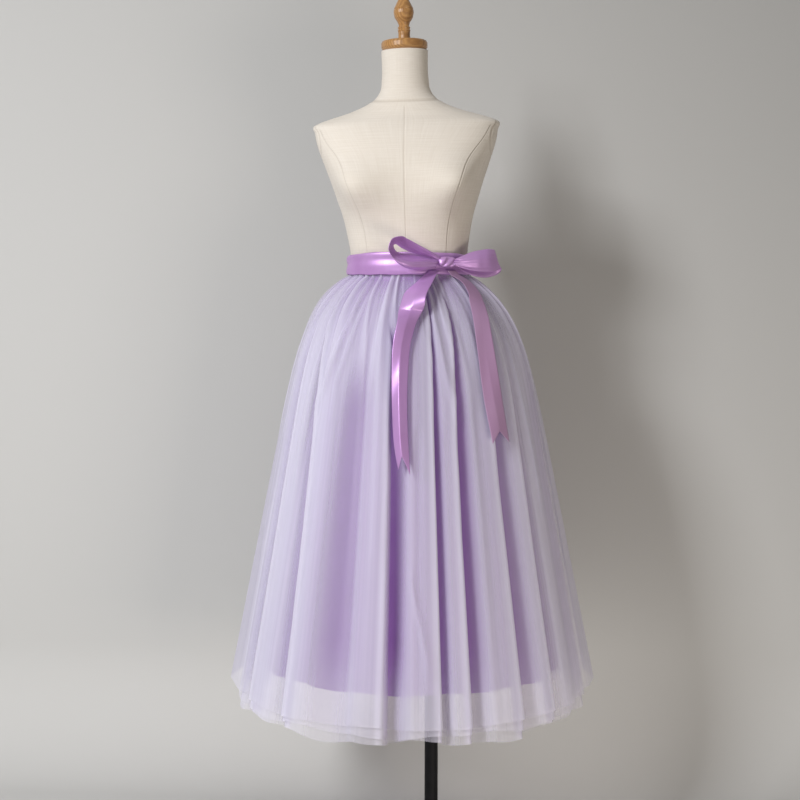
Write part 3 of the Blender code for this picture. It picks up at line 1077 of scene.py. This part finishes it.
CREASES = [
    Crease(-84.0, 0.00, -84.0, 0.03, 0.0080, 15.0), Crease(92.0, 0.00, 92.0, 0.02, 0.0030, 15.0),
    Crease(3.5, 0.56, 8.5, 0.70, 0.0050, 1.1), Crease(15.0, 0.02, 21.0, 0.24, 0.0050, 1.3),
    Crease(-30.0, 0.02, -41.0, 0.24, 0.0040, 1.4), Crease(-26.0, 0.05, -33.0, 0.20, 0.0030, 1.2),
    Crease(29.5, 0.03, 31.0, 0.12, -0.0070, 2.4), Crease(36.0, 0.02, 38.0, 0.30, 0.0030, 1.3),
    Crease(-47.0, 0.02, -50.0, 0.34, 0.0035, 1.5), Crease(-66.0, 0.03, -70.0, 0.50, 0.0035, 1.8),
    Crease(-12.0, 0.01, -10.0, 0.50, 0.0030, 1.4), Crease(-16.0, 0.20, -14.5, 0.80, 0.0030, 1.8),
    Crease(6.0, 0.30, 5.5, 0.80, -0.0030, 1.5), Crease(18.0, 0.30, 17.6, 0.80, -0.0030, 1.1),
    Crease(33.0, 0.25, 32.0, 0.80, -0.0035, 1.9), Crease(60.0, 0.03, 63.0, 0.40, 0.0040, 1.6),
    Crease(79.0, 0.03, 78.0, 0.60, 0.0035, 1.5), Crease(106.0, 0.02, 107.0, 0.45, 0.0040, 1.6),
    Crease(122.0, 0.10, 124.0, 0.75, 0.0035, 1.7), Crease(139.0, 0.02, 137.0, 0.38, 0.0040, 1.4),
    Crease(166.0, 0.05, 167.0, 0.62, 0.0035, 1.6), Crease(181.0, 0.02, 183.0, 0.30, 0.0045, 1.4),
    Crease(196.0, 0.12, 195.0, 0.78, -0.0035, 1.8), Crease(212.0, 0.02, 210.0, 0.44, 0.0040, 1.5),
    Crease(228.0, 0.06, 229.0, 0.70, 0.0035, 1.7), Crease(243.0, 0.02, 244.0, 0.36, 0.0040, 1.4),
    Crease(257.0, 0.10, 256.0, 0.66, -0.0030, 1.6), Crease(271.0, 0.03, 272.0, 0.30, 0.0040, 1.5),
]


@dataclass(frozen=True)
class Gathers:
    """The little pleats under the waist, uneven in place, height and length."""

    count: int = 46
    height: float = 0.0085
    width: float = 1.9
    shortest: float = 0.05
    longest: float = 0.40
    drift: float = 5.0
    seed: int = 11

    def field(self, degrees: Array, drop: Array) -> Array:
        """The pleats' heights over rows (drops) and columns (degrees).

        Args:
            degrees: degrees round from the front.
            drop: drops below the waist.

        Returns:
            The heights.
        """
        draw = np.random.default_rng(self.seed)
        total = np.zeros(np.broadcast_shapes(degrees.shape, drop.shape))
        starts = (np.arange(self.count) + draw.uniform(-0.42, 0.42, self.count)) * (
            360.0 / self.count
        )
        for start in starts:
            length = self.shortest + (self.longest - self.shortest) * draw.random() ** 2
            tall = self.height * draw.uniform(0.2, 1.0)
            wide = self.width * draw.uniform(0.55, 1.7)
            drift = self.drift * draw.uniform(-1.0, 1.0)
            path = start + drift * smooth(drop / 0.16)
            swell = np.exp(-np.maximum(drop, 0.0) / length) * smooth((drop + 0.02) / 0.02)
            away = wrapped(degrees - path)
            spread = wide * (0.75 + 1.1 * smooth(drop / 0.22))
            side = 1.0 if draw.random() > 0.5 else -1.0
            uneven = np.where(away * side > 0, 0.45, 1.4)
            total += tall * swell * hump(away, spread * uneven)
        return total


@dataclass(frozen=True)
class SkirtShape:
    """The form that the plies and the lining share."""

    spring: float = 0.0845
    spring_length: float = 0.062
    slope: float = 0.186
    share_waist: float = 0.74
    share_gain: float = 0.16
    share_length: float = 0.20
    sway_reach: float = 0.005
    sway_length: float = 0.10

    def flare(self, drop: Array) -> Array:
        """How much wider than the waist the crests are at a drop."""
        held = np.maximum(drop, 0.0)
        return self.spring + self.slope * held - self.spring * np.exp(-held / self.spring_length)

    def share(self, drop: Array) -> Array:
        """Front-to-back depth as a share of width."""
        held = np.maximum(drop, 0.0)
        return self.share_waist + self.share_gain * (1.0 - np.exp(-held / self.share_length))

    def sway(self, drop: Array) -> Array:
        """How far the hanging skirt drifts off the leaning form's middle."""
        return self.sway_reach * (1.0 - np.exp(-np.maximum(drop, 0.0) / self.sway_length))

    def place(self, half: Array, share: Array, off: Array, degrees: Array, drop: Array) -> Array:
        """Points of horizontal ovals round the skirt's middle, moved out by off.

        Args:
            half: half widths.
            share: depths as a share of the widths.
            off: how far the points are moved out.
            degrees: degrees round from the front.
            drop: drops below the waist.

        Returns:
            The points.
        """
        turn = np.radians(degrees)
        x = WAIST.x + self.sway(drop) + (half + off) * np.sin(turn)
        y = -(half * share + off) * np.cos(turn)
        return np.stack([x, y, WAIST.z - drop + 0 * x], axis=-1)

    def envelope(self, degrees: Array, drop: Array, off: Array) -> Array:
        """Points off the crests' own oval."""
        return self.place(WAIST_HALF + self.flare(drop), self.share(drop), off, degrees, drop)


@dataclass(frozen=True)
class Folds:
    """Flutes, troughs, creases and gathers as one field of moves."""

    troughs: tuple[Trough, ...] = tuple(TROUGHS)
    creases: tuple[Crease, ...] = tuple(CREASES)
    gathers: Gathers = Gathers()
    wings: tuple[float, ...] = (-84.0, 90.0, 181.0)
    wing_reach: float = 0.008
    wing_behind: float = 0.014
    wing_width: float = 4.5
    power: float = 0.8
    crown: float = 0.0045
    narrow_top: float = 0.52

    def field(
        self, degrees: Array, drop: Array, under: bool
    ) -> tuple[Array, Array, Array, Array]:
        """Work out the folds over rows and columns.

        Args:
            degrees: azimuths, as a row.
            drop: drops below the waist, as a column or for every point.
            under: whether it is a lower ply, which stays behind where the outer one wings out.

        Returns:
            How far each point moves out, how many degrees it moves round, how much it is
            on a crest (0 in a trough to 1, which sets the net's cover and its painted shade),
            and how much it is on a gathered pleat.
        """
        out = np.zeros(np.broadcast_shapes(degrees.shape, drop.shape))
        swing, pit, near = out.copy(), out.copy(), out + 99.0
        grown = (np.maximum(drop, 0.0) / HEM_DROP) ** self.power
        edge = out.copy()
        for trough in self.troughs:
            held = np.maximum(drop, 0.0)
            path = trough.azimuth + trough.wander * np.exp(-held / 0.20)
            away = wrapped(degrees - path)
            opened = smooth((drop - trough.opens) / (0.16 - 0.10 * trough.bare**2))
            spread = trough.spread * (self.narrow_top + (1 - self.narrow_top) * smooth(drop / 0.30))
            share, side = away / spread, np.sign(trough.lean)
            steep = smooth((1.0 - np.abs(share)) / 0.35)
            soft = 0.5 * (1.0 + np.cos(pi * np.clip(np.abs(share) / 1.9, 0.0, 1.0)))
            deep = np.where(share * side < 0, steep, soft)
            out -= trough.depth * np.maximum(grown, 0.30 * opened) * opened * deep
            swing += trough.lean * opened * hump(share + side * 0.95, 0.42)
            pit = np.maximum(pit, deep * opened * trough.bare)
            line = np.exp(-(((away + side * spread * 1.12) / 0.65) ** 2)) * abs(side)
            edge = np.maximum(edge, line * opened)
            near = np.minimum(near, np.abs(away) - spread * 0.8)
        out += self.crown * grown * (1.0 - np.exp(-np.maximum(near, 0.0) / 3.2))
        for wing in self.wings:
            away = np.abs(wrapped(degrees - wing))
            if under:
                out -= self.wing_behind * grown**1.5 * np.exp(-((away / 9.0) ** 2))
            else:
                out += self.wing_reach * grown**1.5 * np.exp(-away / self.wing_width)
        for crease in self.creases:
            along = np.clip((drop - crease.drop) / (crease.to_drop - crease.drop), 0.0, 1.0)
            path = crease.azimuth + (crease.to_azimuth - crease.azimuth) * along
            held = smooth((drop - crease.drop + 0.05) / 0.07) * smooth(
                (crease.to_drop + 0.09 - drop) / 0.12
            )
            out += crease.height * held * hump(wrapped(degrees - path), crease.width)
        pleats = self.gathers.field(degrees, drop)
        out += pleats - 0.55 * self.gathers.height * np.exp(-np.maximum(drop, 0) / 0.30)
        doubled = np.clip(pleats / self.gathers.height, 0.0, 1.0)
        covered = smooth((drop - HEM_DROP + 0.16) / 0.14)
        # painted shade: the net between the top pleats is marked bare, so its colour is darkened as
        # a shaded recess and its cover thins
        between = 0.60 * (1.0 - doubled) * np.exp(-np.maximum(drop, 0.0) / 0.05)
        # bare thins the cover and paints shade into the net's colour in the troughs, less near the
        # hem
        bare = np.maximum(pit * (1.0 - 0.55 * covered), between)
        return out, swing, 1.0 - bare, np.maximum(doubled, 1.2 * edge)


@dataclass
class TullePly:
    """One gathered ply of tulle."""

    name: str
    steps_in: int
    drop: float
    flat_width: float
    finish: TulleFinish
    own_gathers: Gathers
    shape: SkirtShape = SkirtShape()
    folds: Folds = Folds()
    columns: int = 860
    rows: int = 104
    tuck: float = 0.009
    off: float = 0.0070
    spring_start: float = 0.0015
    spring_later: float = 0.0022
    step_top: float = 0.0019
    step_hem: float = 0.0060
    hem_swing: float = 0.0030
    side_lift: float = 0.015
    trough_drop: float = 0.010

    def build(self, effects: Effects) -> None:
        """Make the ply.

        Args:
            effects: the shared groups.
        """
        degrees = (np.arange(self.columns) * 360.0 / self.columns - 180.0)[None, :]
        share = np.linspace(0.0, 1.0, self.rows)[:, None]
        eased_share = 0.35 * share**2 + 0.65 * share
        uneven = np.sin(np.radians(degrees) * 7 + self.steps_in * 2.1) + 0.6 * np.sin(
            np.radians(degrees) * 17 + 1.3 + self.steps_in
        )
        lift = self.side_lift * np.abs(np.sin(np.radians(degrees))) ** 5
        low = np.full_like(degrees, HEM_DROP * 0.9)
        sunk = np.clip(-self.folds.field(degrees, low, self.steps_in > 0)[0] / 0.030, 0.0, 1.0)
        hem = self.drop + self.hem_swing * uneven * (0.6 + 0.6 * self.steps_in)
        hem = hem - lift + self.trough_drop * sunk
        drop = -self.tuck + (hem + self.tuck) * eased_share
        fall = np.maximum(drop - self.spring_start - self.spring_later * self.steps_in, 0.0)
        out, swing, crest, pleat = self.folds.field(degrees, fall, self.steps_in > 0)
        own = self.own_gathers.field(degrees, fall)
        grown = fall / HEM_DROP
        step = self.step_top + (self.step_hem - self.step_top) * np.sqrt(grown)
        behind_sash = smooth((drop - 0.000) / 0.006)
        off = self.off - self.steps_in * step + (out + own - 0.0008) * behind_sash
        half = WAIST_HALF + self.shape.flare(fall)
        points = self.shape.place(half, self.shape.share(fall), off, degrees + swing, drop)
        around = np.append(degrees[0], 180.0) / 360.0 * self.flat_width
        down = np.append(0.0, np.cumsum(np.diff(drop.mean(axis=1))))
        # the crest mark sets both the net's cover and its painted shade in troughs and between the
        # top pleats
        marks = {
            "crest": crest,
            "pleat": np.clip(pleat + own / max(self.own_gathers.height, 1e-6) * 0.5, 0, 1),
        }
        made = mesh_of_rows(self.name, points, grid_uv(down, around), tube=True, marks=marks)
        made.data.materials.append(self.finish.material(effects))
        declare(made, [self.name.replace("net", "tulle")])


@dataclass
class Lining:
    """The satin underskirt, flatter than the tulle, with low soft waves."""

    finish: SatinFinish
    shape: SkirtShape = SkirtShape()
    drop: float = 0.782
    start: float = 0.0085
    half_hem: float = 0.296
    share_hem: float = 0.86
    off: float = 0.0012
    waves: int = 12
    wave: float = 0.005
    columns: int = 420
    rows: int = 90
    tuck: float = 0.009
    hem_round: float = 1.76
    flat_area: float = 1.03

    def build(self, effects: Effects) -> None:
        """Make the lining.

        Args:
            effects: the shared groups.
        """
        degrees = (np.arange(self.columns) * 360.0 / self.columns - 180.0)[None, :]
        drop = np.linspace(-self.tuck, self.drop, self.rows)[:, None]
        grown = np.maximum(drop - self.start, 0.0) / self.drop
        half = WAIST_HALF + (self.half_hem - WAIST_HALF) * grown**0.7
        share = 0.74 + (self.share_hem - 0.74) * grown**0.5
        turn = np.radians(degrees)
        off = self.off + self.wave * grown * np.cos(self.waves * turn)
        off = off + 0.0030 * grown * np.sin(5 * turn + 1.0 + 1.5 * grown)
        off = off + 0.0012 * grown * np.sin(31 * turn + 2.0)
        points = self.shape.place(half, share, off, degrees, drop)
        around = np.append(degrees[0], 180.0) / 360.0 * self.hem_round
        made = mesh_of_rows(
            "lining_satin", points, grid_uv(drop[:, 0], around), tube=True
        )
        made.data.materials.append(self.finish.material(effects))
        declare(made, ["lining"])


# ---------------------------------------------------------------- the sash and its bow
@dataclass
class Sash:
    """The satin ribbon round the waist, drawn into soft lengthwise folds."""

    finish: SatinFinish
    shape: SkirtShape = SkirtShape()
    low: float = 0.0015
    front: float = 0.0455
    side: float = 0.0320
    back: float = 0.0400
    columns: int = 420
    rows: int = 26

    def top(self, turn: Array) -> Array:
        """Height of the top edge: full in front, drawn narrower at the sides."""
        end = np.where(np.cos(turn) > 0, self.front, self.back)
        return self.side + (end - self.side) * np.abs(np.cos(turn)) ** 0.7

    def build(self, effects: Effects) -> None:
        """Make the band.

        Args:
            effects: the shared groups.
        """
        degrees = (np.arange(self.columns) * 360.0 / self.columns - 180.0)[None, :]
        turn = np.radians(degrees)
        share = np.linspace(1.0, 0.0, self.rows)[:, None]
        rise = self.low + (self.top(turn) - self.low) * share
        rise = rise + 0.0006 * np.sin(9 * turn) * (share > 0.99) + 0.0005 * np.sin(
            14 * turn + 1.0
        ) * (share < 0.01)
        to_knot = hump(wrapped(degrees - 36.0), 55.0)
        folds = (
            0.0010 * np.sin(2 * pi * (1.3 * share + 0.15 * np.sin(2 * turn)))
            + 0.0009 * to_knot * np.sin(2 * pi * (2.4 * share + 0.1))
            + 0.0006 * np.sin(3 * turn + 5 * share)
        )
        rim = 0.0008 * (np.exp(-share / 0.05) + np.exp(-(1 - share) / 0.05))
        off = SASH_OFF + folds * np.sin(pi * share) ** 0.5 - rim
        half = WAIST_HALF + 0 * off
        points = self.shape.place(half, 0.74 + 0 * off, off, degrees + 0 * off, -rise)
        around = np.append(degrees[0], 180.0) / 360.0 * 0.70
        made = mesh_of_rows(
            "sash_ribbon", points, grid_uv(-(share[:, 0] * 0.045), around), tube=True
        )
        give_wall(made, 2 * RIBBON_HALF_WALL)
        made.data.materials.append(self.finish.material(effects))
        declare(made, ["sash_band"])


@dataclass(frozen=True)
class Rails:
    """A place along a loop's ribbon: its back edge, middle and front edge.

    Each is (along the waist to +X, outward, up) from the knot's centre, in millimetres.
    """

    share: float
    back: Colour
    mid: Colour
    front: Colour


LOOP_LEFT = [
    Rails(0.00, (-14.9, -3, 2.9), (-16.0, 2, 5.8), (-16.3, 5, 8.7)),
    Rails(0.12, (-32.1, -7, 8.7), (-36.9, 4, 14.5), (-40.4, 12, 20.3)),
    Rails(0.25, (-53.9, -10, 13.5), (-60.5, 5, 22.2), (-65.7, 17, 30.9)),
    Rails(0.37, (-76.2, -12, 21.2), (-86.2, 6, 33.8), (-92.2, 20, 42.5)),
    Rails(0.45, (-90.5, -13, 28.0), (-100.9, 6, 40.5), (-107.4, 21, 47.3)),
    Rails(0.50, (-101.5, -12, 34.7), (-114.6, 6, 40.5), (-123.6, 22, 42.5)),
    Rails(0.55, (-109.1, -9, 31.8), (-121.3, 7, 28.0), (-131.0, 22, 28.0)),
    Rails(0.63, (-103.2, -8, 19.3), (-118.2, 12, 14.5), (-123.8, 20, 9.7)),
    Rails(0.75, (-73.8, -8, 14.5), (-93.9, 19, 0.0), (-93.0, 12, -9.7)),
    Rails(0.88, (-41.4, -5, 8.7), (-58.1, 14, -1.0), (-55.9, 9, -15.4)),
    Rails(1.00, (-17.9, -1, 1.9), (-23.5, 7, -1.9), (-25.1, 6, -11.6)),
]
LOOP_RIGHT = [
    Rails(0.00, (13.6, 4, 5.8), (12.3, 7, 0.0), (13.2, 5, -5.8)),
    Rails(0.12, (29.6, 6, 12.0), (27.4, 11, 0.4), (28.7, 8, -11.2)),
    Rails(0.25, (50.6, 6, 19.9), (46.7, 15, 1.9), (48.5, 11, -16.8)),
    Rails(0.37, (72.1, 5, 23.5), (67.3, 16, 3.9), (73.3, 12, -19.3)),
    Rails(0.45, (89.8, 3, 25.1), (90.1, 12, 4.8), (100.3, 8, -17.4)),
    Rails(0.50, (103.2, -2, 23.7), (110.1, 0, 4.8), (118.9, -1, -11.6)),
    Rails(0.55, (100.9, -8, 21.2), (103.5, -9, 2.9), (117.9, -6, -20.3)),
    Rails(0.63, (83.3, -11, 17.4), (83.7, -12, -1.0), (98.8, -8, -28.6)),
    Rails(0.75, (58.5, -12, 13.5), (58.5, -12, -2.9), (69.4, -8, -28.4)),
    Rails(0.88, (36.5, -10, 7.7), (36.5, -10, -2.9), (42.0, -8, -19.3)),
    Rails(1.00, (17.1, -4, 2.9), (17.1, -4, -1.9), (18.2, -4, -7.7)),
]


@dataclass(frozen=True)
class Station:
    """A place down a tail: drop, azimuth, width, turn about its length and crease."""

    drop: float
    azimuth: float
    width: float
    turn: float
    crease: float = 0.0


TAIL_LEFT = [
    Station(-0.0090, 25.0, 0.018, 10), Station(0.0100, 15.0, 0.030, 26),
    Station(0.0300, 7.4, 0.046, 30, 0.002), Station(0.0560, 4.4, 0.048, 16, 0.004),
    Station(0.0800, 2.0, 0.042, -22, 0.004), Station(0.1200, -0.6, 0.036, -26, 0.005),
    Station(0.1800, -1.6, 0.031, -16, 0.008), Station(0.2500, -1.4, 0.028, -6, 0.010),
    Station(0.3200, -0.4, 0.026, 2, 0.010), Station(0.3680, 1.0, 0.020, 8, 0.006),
]
TAIL_RIGHT = [
    Station(-0.0090, 41.0, 0.020, -10), Station(0.0080, 47.5, 0.031, -20),
    Station(0.0300, 48.0, 0.033, -12), Station(0.0650, 43.8, 0.033, 10),
    Station(0.1100, 40.8, 0.034, 14), Station(0.1700, 39.8, 0.036, 8, 0.001),
    Station(0.2400, 40.2, 0.040, 0, 0.002), Station(0.3140, 41.2, 0.043, -4, 0.002),
]


@dataclass
class Bow:
    """The knot, the two loops and the two tails of the sash."""

    finish: SatinFinish
    # the ribbon's matt reverse side for the right tail; its colour is also painted darker and
    # duller than the face, as shade
    reverse_in_shade: SatinFinish
    shape: SkirtShape = SkirtShape()
    knot_azimuth: float = radians(36.0)
    turn_back: float = radians(8.0)
    knot_rise: float = 0.0255
    knot_clear: float = 0.0022
    knot_size: Colour = (0.037, 0.017, 0.021)
    tail_clear: float = 0.0065
    loop_rows: int = 90
    loop_columns: int = 25
    tail_rows: int = 150
    tail_columns: int = 23

    def __post_init__(self) -> None:
        """Work out the bow's directions and its knot's centre."""
        turn = self.knot_azimuth - self.turn_back
        self.along = Vector((cos(turn), sin(turn), 0.0))
        self.out = Vector((sin(turn), -cos(turn), 0.0))
        at = self.shape.place(
            np.array(WAIST_HALF), np.array(0.74), np.array(SASH_OFF),
            np.array(np.degrees(self.knot_azimuth)), np.array(-self.knot_rise),
        )
        self.centre = Vector(at) + self.out * (self.knot_size[1] / 2 + self.knot_clear)

    def build(self, effects: Effects) -> None:
        """Make the bow's pieces.

        Args:
            effects: the shared groups.
        """
        satin, matt_in_shade = self.finish.material(effects), self.reverse_in_shade.material(effects)
        self.build_knot(satin)
        self.build_loop("bow_ribbon_left", "bow_loop_left", LOOP_LEFT, 0.235, satin)
        self.build_loop("bow_ribbon_right", "bow_loop_right", LOOP_RIGHT, 0.205, satin)
        self.build_tail("tail_ribbon_left", "sash_tail_left", TAIL_LEFT, 0.42, satin, 0.030, 0.35)
        self.build_tail("tail_ribbon_right", "sash_tail_right", TAIL_RIGHT, 0.37, matt_in_shade, 0.022, 0.0)

    def build_knot(self, satin: bpy.types.Material) -> None:
        """The knot: ribbon drawn tight round the bow's middle, with slanting folds.

        Args:
            satin: its material.
        """
        rows, cols = 40, 72
        v = np.linspace(0.0, pi, rows)[:, None]
        u = np.linspace(-pi, pi, cols, endpoint=False)[None, :]
        size = np.array(self.knot_size) / 2
        square = 0.62
        ring = np.sin(v) ** 0.75
        x = size[0] * np.sign(np.sin(u)) * np.abs(np.sin(u)) ** square * ring
        y = -size[1] * np.sign(np.cos(u)) * np.abs(np.cos(u)) ** square * ring
        z = size[2] * np.sign(np.cos(v)) * np.abs(np.cos(v)) ** square + 0 * x
        fold = 1.0 + 0.15 * np.sin((x * 0.8 - z * 0.9) / 0.0021) * ring
        pinch = 1.0 - 0.30 * np.exp(-(((x + 0.005 - 0.55 * z) / 0.0024) ** 2)) * (y < 0)
        local = np.stack(
            [x * (0.97 + 0.03 * fold), y * fold * pinch, z * (0.9 + 0.1 * fold)], axis=-1
        )
        frame_axes = np.array([self.along, -self.out, (0.0, 0.0, 1.0)])
        points = local @ frame_axes + np.array(self.centre)
        made = mesh_of_rows(
            "bow_knot_tied",
            points,
            grid_uv(-np.linspace(0, 0.03, rows), np.linspace(0, 0.09, cols + 1)),
            tube=True,
        )
        made.data.materials.append(satin)
        declare(made, ["bow_knot"])

    def build_loop(
        self, name: str, node: str, rails: list[Rails], length: float,
        satin: bpy.types.Material,
    ) -> None:
        """A loop: ribbon bent round and back to the knot, pleated where it is tied.

        Args:
            name: the piece's name.
            node: the solid it stands for.
            rails: where its edges and middle run.
            length: how much ribbon the loop takes.
            satin: its material.
        """
        s = np.linspace(0.0, 1.0, self.loop_rows)[:, None]
        t = np.linspace(-1.0, 1.0, self.loop_columns)[None, :, None]
        shares = column(rails, "share")
        back, mid, front = (
            np.stack(
                [
                    eased(s[:, 0], shares, [getattr(row, part)[axis] for row in rails])
                    for axis in range(3)
                ],
                axis=-1,
            )[:, None, :]
            * 0.001
            for part in ("back", "mid", "front")
        )
        local = back * t * (t - 1) / 2 + mid * (1 - t**2) + front * t * (t + 1) / 2
        down, over = np.gradient(local, axis=0), np.gradient(local, axis=1)
        out = np.cross(down, over)
        out /= np.maximum(np.linalg.norm(out, axis=-1, keepdims=True), 1e-9)
        far = np.sin(pi * s)
        tied = np.exp(-far / 0.32)
        t = t[..., 0]
        pleat = 0.0017 * tied * np.cos(3.2 * pi * t + 0.6) + 0.0010 * far * np.sin(2.4 * t + 7 * s)
        pleat = pleat + 0.0009 * np.exp(-far / 0.7) * np.cos(5.1 * pi * t + 2.0)
        local = local + out * pleat[..., None]
        axes = np.array([self.along, self.out, (0.0, 0.0, 1.0)])
        points = local @ axes + np.array(self.centre)
        uv = grid_uv(
            np.linspace(0, length, self.loop_rows), np.linspace(0, RIBBON_WIDE, self.loop_columns)
        )
        made = mesh_of_rows(name, points, uv, tube=False)
        give_wall(made, 2 * RIBBON_HALF_WALL)
        made.data.materials.append(satin)
        declare(made, [node])

    def build_tail(
        self,
        name: str,
        node: str,
        stations: list[Station],
        length: float,
        satin: bpy.types.Material,
        notch: float,
        slant: float,
    ) -> None:
        """A tail: the sash's end, hanging over the tulle, with a notched cut.

        Args:
            name: the piece's name.
            node: the solid it stands for.
            stations: where it runs.
            length: how much ribbon it takes, along its fall.
            satin: its material.
            notch: how deep the V of its cut end is.
            slant: how much higher the cut is on its -X side, as a share of the notch.
        """
        drops = column(stations, "drop")
        t = np.linspace(-1.0, 1.0, self.tail_columns)[None, :]
        share = np.linspace(0.0, 1.0, self.tail_rows)[:, None]
        cut = notch * (1.0 - np.abs(t)) + slant * notch * (1.0 - t) / 2
        drop = drops[0] + (drops[-1] - cut - drops[0]) * share
        part = {
            key: eased(drop, drops, column(stations, key))
            for key in ("azimuth", "width", "turn", "crease")
        }
        clear = SASH_OFF + self.tail_clear
        here = self.shape.envelope(part["azimuth"], drop, clear)
        ahead = self.shape.envelope(part["azimuth"] + 0.5, drop, clear)
        across = ahead - here
        across /= np.linalg.norm(across, axis=-1, keepdims=True)
        away = np.stack([across[..., 1], -across[..., 0], 0 * drop], axis=-1)
        lean = np.radians(part["turn"])[..., None]
        side = across * np.cos(lean) + away * np.sin(lean)
        lift = (np.abs(np.sin(lean[..., 0])) * part["width"] / 2)[..., None]
        ripple = 0.0012 * np.sin(9 * share + 1.7 * t) * smooth(share / 0.2)
        ridge = (part["crease"] * (1.0 - np.abs(t)) + ripple)[..., None]
        points = here + away * (lift + ridge) + side * (part["width"] / 2 * t)[..., None]
        uv = grid_uv(
            np.linspace(0, length, self.tail_rows), np.linspace(0, RIBBON_WIDE, self.tail_columns)
        )
        made = mesh_of_rows(name, points, uv, tube=False)
        give_wall(made, 2 * RIBBON_HALF_WALL)
        made.data.materials.append(satin)
        declare(made, [node])


# ---------------------------------------------------------------- wood and steel
@dataclass
class Stand:
    """The turned cap and finial and the painted stand, which keep their own nodes."""

    wood: WoodFinish = WoodFinish()
    steel: SteelFinish = SteelFinish()

    def dress(self, effects: Effects) -> None:
        """Give the kept nodes their finishes.

        Args:
            effects: the shared groups.
        """
        wood, steel = self.wood.material(effects), self.steel.material(effects)
        for name, made in (
            ("neck_cap", wood), ("neck_finial", wood), ("stand_base", steel), ("stand_pole", steel),
        ):
            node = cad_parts[name]
            for place in node.material_slots:
                place.material = made
            LOG.info("%s: %s", name, made.name)


PLIES = [
    TullePly(
        "net_outer", 0, HEM_DROP, 2.81, TulleFinish("tulle_net_outer", seed=1.0),
        Gathers(count=90, height=0.0007, width=0.7, longest=0.9, seed=21),
    ),
    TullePly(
        "net_middle", 1, HEM_DROP + 0.016, 2.78, TulleFinish("tulle_net_middle", seed=31.0),
        Gathers(count=80, height=0.0007, width=0.8, longest=0.9, seed=22),
    ),
    TullePly(
        "net_inner", 2, HEM_DROP + 0.030, 2.77, TulleFinish("tulle_net_inner", seed=61.0),
        Gathers(count=80, height=0.0007, width=0.8, longest=0.9, seed=23),
    ),
]


def main() -> None:
    """Build every piece in order."""
    logging.basicConfig(level=logging.INFO, format="%(name)s %(message)s")
    Studio().build()
    effects = Effects.build()
    Stand().dress(effects)
    DressForm().build(effects)
    Lining(
        SatinFinish("lilac_lining", (0.36, 0.155, 0.51), (0.28, 0.10, 0.42), gloss=0.42, sheen=0.1)
    ).build(effects)
    for ply in PLIES:
        ply.build(effects)
    ribbon = SatinFinish(
        "purple_ribbon", (0.67, 0.40, 0.77), (0.52, 0.26, 0.61), gloss=0.40, sheen=0.10,
        metal=0.34, dents=0.0004,
    )
    # the ribbon's matt reverse side, with its colour painted darker and duller than the face as
    # shade on the right tail
    reverse_in_shade = SatinFinish(
        "ribbon_reverse_and_shade", (0.44, 0.27, 0.44), (0.38, 0.21, 0.38), gloss=0.60, sheen=0.10,
        dents=0.0003,
    )
    Sash(ribbon).build(effects)
    Bow(ribbon, reverse_in_shade).build(effects)


if __name__ == "__main__":
    main()
